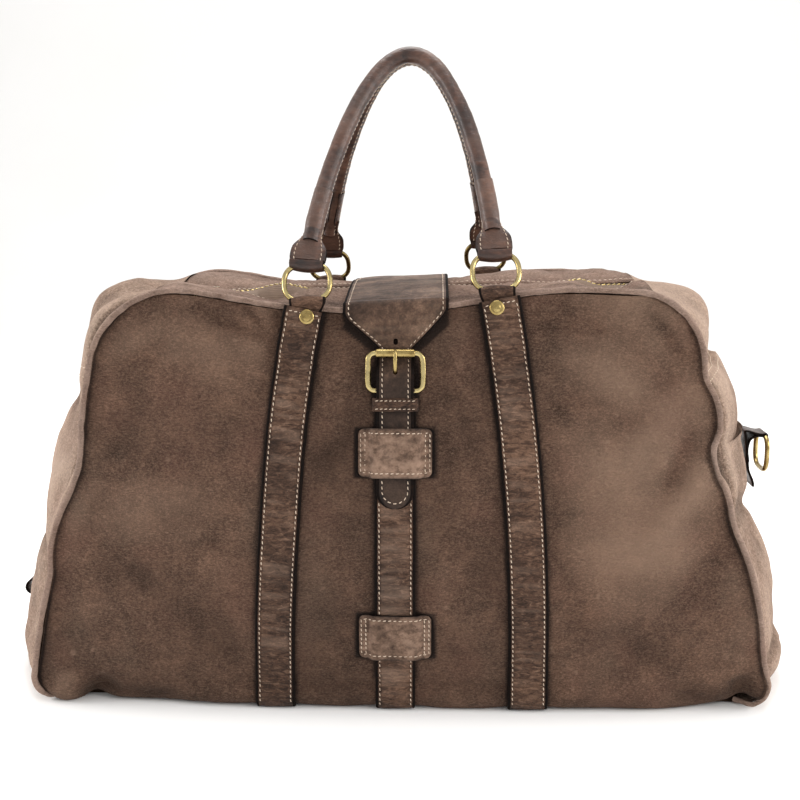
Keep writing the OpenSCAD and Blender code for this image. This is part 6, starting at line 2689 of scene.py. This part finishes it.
@dataclass
class EndFittings:
    """The side tabs with their rings, and the small pull tab low on the left."""

    form: BagForm
    palette: Palette
    shell: Shell
    left_y: float = 28.0
    left_z: float = 170.0
    right_z: float = 197.0
    ring_turn: float = 5.8217
    tab_turn: float = 5.82
    stand: float = 13.0
    wire: float = 2.0
    ring_w: float = 34.0
    ring_h: float = 29.0

    def skin_x(self, side: Side, y: float, z: Array) -> Array:
        """Distance from the bag's middle out to an end's skin, with its folds.

        Args:
            side: left or right end.
            y: depth.
            z: heights.

        Returns:
            The distance at each height.
        """
        deep = np.full_like(z, y)
        base = self.form.end_skin(side, deep, z)
        c = deep / (self.form.edge_depth(z) - 3.0)
        return base + self.shell.end_relief(side, spots(base, deep, z), c)

    def pivot(self, side: Side) -> Array:
        """Where a side ring's bar sits.

        Args:
            side: left or right end.

        Returns:
            The point.
        """
        if side is Side.RIGHT:
            return np.array([295.022, 0.0, self.right_z])
        a = math.radians(self.ring_turn)
        out = self.stand * np.array([-math.cos(a), math.sin(a), 0.0])
        return out + [-286.969, self.left_y, self.left_z]

    def tab(self, side: Side) -> Piece:
        """Builds a side tab: a leaf sewn to the end, rolled over the ring's bar.

        Args:
            side: left or right end.

        Returns:
            The tab.
        """
        s, bar = side.value, self.pivot(side)
        y, curl, spin = (self.left_y, 10.5, self.tab_turn) if side is Side.LEFT else (0.0, 4.5, 0.0)
        out, across, up = turned("Z", -spin)[:3, :3].T * [[s], [s], [1]]
        z = bar[2] + np.linspace(-43, 3, 24)
        leaf = spots(s * (self.skin_x(side, y, z) + 0.9 + curl * (1 - smooth((z - z[0]) / 20)) ** 1.5), y, z)
        turn = np.radians(np.linspace(115, -125, 20))[:, None]
        loop = bar + (self.wire + 0.3) * (np.cos(turn) * out + np.sin(turn) * up)
        levels = bar[2] - [5, 10, 22]
        skin = np.interp(levels, z, s * leaf[:, 0])
        back = bar - out * np.clip(s * bar[0] - skin[0] - 5, 5, 12) - up * 3.6
        line = respaced(np.vstack([leaf, loop, back, spots(s * (skin[1:] + 2.4), y, levels[1:])]), 1.2)

        def grain(along: Array, c: Array) -> Array:
            """The leather's grain."""
            return 0.16 * face_noise(along, c, (3.6, 7), 801 + s)

        strip = Strip(line, None, 11.0, 1.8, 13, None, grain, None, across)
        piece = Piece()
        strip.lay(piece)
        for sign in (-1, 1):
            strip.sew_edge(piece, 2.8, sign, 0.03, 0.34, pitch=3.4, long=2.3, thick=0.36)
        return piece

    def ring(self, side: Side) -> Piece:
        """Builds a side ring, hanging from its tab.

        Args:
            side: left or right end.

        Returns:
            The ring.
        """
        path = oval(self.ring_w / 2, self.ring_h / 2, 3.1)[:, [1, 0, 2]] - [0, 0, self.ring_h / 2]
        m = turned("Z", -self.ring_turn if side is Side.LEFT else 0.0)
        m[:3, 3] = self.pivot(side)
        piece = Piece()
        piece.tube(place(m, path), self.wire, 14, True, (side.value, 0, 0))
        return piece

    def pull_tab(self) -> Piece:
        """Builds the small folded tab low on the left end.

        Returns:
            The tab.
        """
        z = np.linspace(67.5, 52.5, 14)
        bulge = 9.0 * np.sqrt(np.clip(1 - ((z - 60) / 7.5) ** 2, 0, 1))
        line = respaced(spots(-(self.skin_x(Side.LEFT, 0.0, z) + 0.2 + bulge), 0.0, z), 1.0)
        across, thick = (0.0, 1.0, 0.0), 1.8
        out = unit(np.cross(across, ways(line)))

        def grain(along: Array, c: Array) -> Array:
            """The leather's grain."""
            return 0.15 * face_noise(along, c, (3.4, 5), 821)

        strip = Strip(line - out * thick, None, 8.0, thick, 11, None, grain, None, across)
        strip.out = out
        piece = Piece()
        strip.lay(piece)
        return piece

    def build(self) -> None:
        """Makes and dresses the fittings of both ends."""
        p = self.palette
        leather = [p.handle, p.edge, p.thread]
        for side, word in ((Side.LEFT, "left"), (Side.RIGHT, "right")):
            ring = f"{word}_end_ring"
            self.tab(side).made(
                f"{word}_rolled_side_tab", leather, "bag", [f"{word}_end_tab"], "strap_leather")
            self.ring(side).made(f"{word}_side_ring", [p.brass], ring, [ring], "antique_brass")
        self.pull_tab().made("left_small_pull_tab", leather, "bag", ["left_pull_tab"], "handle_leather")


@dataclass
class Studio:
    """The plain pale floor, the soft light and the camera."""

    eye: Sequence[float] = (0.025, -0.936, 0.400)
    pitch: float = 79.3
    turn: float = 1.8
    lens: float = 51.66
    sky: float = 0.88

    def lamp(self, name: str, at: Sequence[float], toward: Sequence[float], size: float, watts: float,
             tint: Sequence[float] = (1.0, 1.0, 1.0)) -> None:
        """Adds a soft square lamp.

        Args:
            name: the lamp's name.
            at: where it hangs, in metres.
            toward: what it faces.
            size: width of its face.
            watts: its power.
            tint: its colour.
        """
        data = bpy.data.lights.new(name, "AREA")
        data.shape, data.size, data.energy, data.color = "SQUARE", size, watts, tint
        obj = bpy.data.objects.new(name, data)
        x, y, z = np.subtract(toward, at)
        obj.location = at
        obj.rotation_euler = (math.acos(-z / math.hypot(x, y, z)), 0.0, math.atan2(y, x) - math.pi / 2)
        bpy.context.scene.collection.objects.link(obj)

    def backdrop(self) -> None:
        """Adds a pale floor that sweeps up behind the bag."""
        bend = np.radians(np.linspace(0, 90, 12))
        y = np.concatenate([[-4.0, 2.2], 2.2 + 1.2 * np.sin(bend), [3.4]])
        z = np.concatenate([[0.0, 0.0], 1.2 - 1.2 * np.cos(bend), [4.5]])
        points = spots(np.linspace(-6, 6, 3), y[:, None], z[:, None]).reshape(-1, 3)
        faces = [(k, k + 1, k + 4, k + 3) for row in range(len(y) - 1) for k in (3 * row, 3 * row + 1)]
        mesh = bpy.data.meshes.new("pale_floor")
        mesh.from_pydata(points.tolist(), [], faces)
        mesh.materials.append(PaleFloor().mix())
        mesh.polygons.foreach_set("use_smooth", np.ones(len(faces), bool))
        obj = bpy.data.objects.new("pale_floor", mesh)
        bpy.context.scene.collection.objects.link(obj)

    def camera(self) -> None:
        """Adds the camera at the photograph's viewing angle."""
        data = bpy.data.cameras.new("view_camera")
        data.sensor_width, data.lens, data.dof.use_dof = 36.0, self.lens, False
        obj = bpy.data.objects.new("view_camera", data)
        obj.location = self.eye
        obj.rotation_euler = (math.radians(self.pitch), 0.0, math.radians(self.turn))
        bpy.context.scene.collection.objects.link(obj)
        bpy.context.scene.camera = obj

    def build(self) -> None:
        """Sets up the floor, the light and the camera."""
        scene = bpy.context.scene
        scene.view_settings.view_transform = "Standard"
        scene.world = scene.world or bpy.data.worlds.new("soft_white")
        scene.world.use_nodes = True
        back = scene.world.node_tree.nodes.get("Background")
        back.inputs["Color"].default_value = (1.0, 1.0, 1.0, 1.0)
        back.inputs["Strength"].default_value = self.sky
        self.lamp("key_light", (1.7, -1.3, 1.3), (0.1, 0, 0.15), 0.9, 13, (1.0, 0.985, 0.96))
        self.lamp("top_light", (0.0, 0.45, 1.9), (0, 0, 0.2), 1.2, 26)
        self.lamp("left_light", (-1.7, -0.1, 0.6), (-0.2, 0, 0.15), 0.8, 20)
        self.lamp("right_light", (1.7, -0.2, 0.6), (0.2, 0, 0.15), 0.8, 17)
        self.backdrop()
        self.camera()


def main() -> None:
    """Builds the bag piece by piece in its studio."""
    logging.basicConfig(level=logging.INFO, format="%(message)s")
    form, palette = BagForm(), Palette()
    shell = Shell(form, palette)
    for assembly in (shell, Zipper(form, palette), LongStraps(form, palette), HandleSet(form, palette),
                     FlapAndBuckle(form, palette), EndFittings(form, palette, shell), Studio()):
        log.info("building %s", type(assembly).__name__)
        assembly.build()
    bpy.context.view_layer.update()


if __name__ == "__main__":
    main()
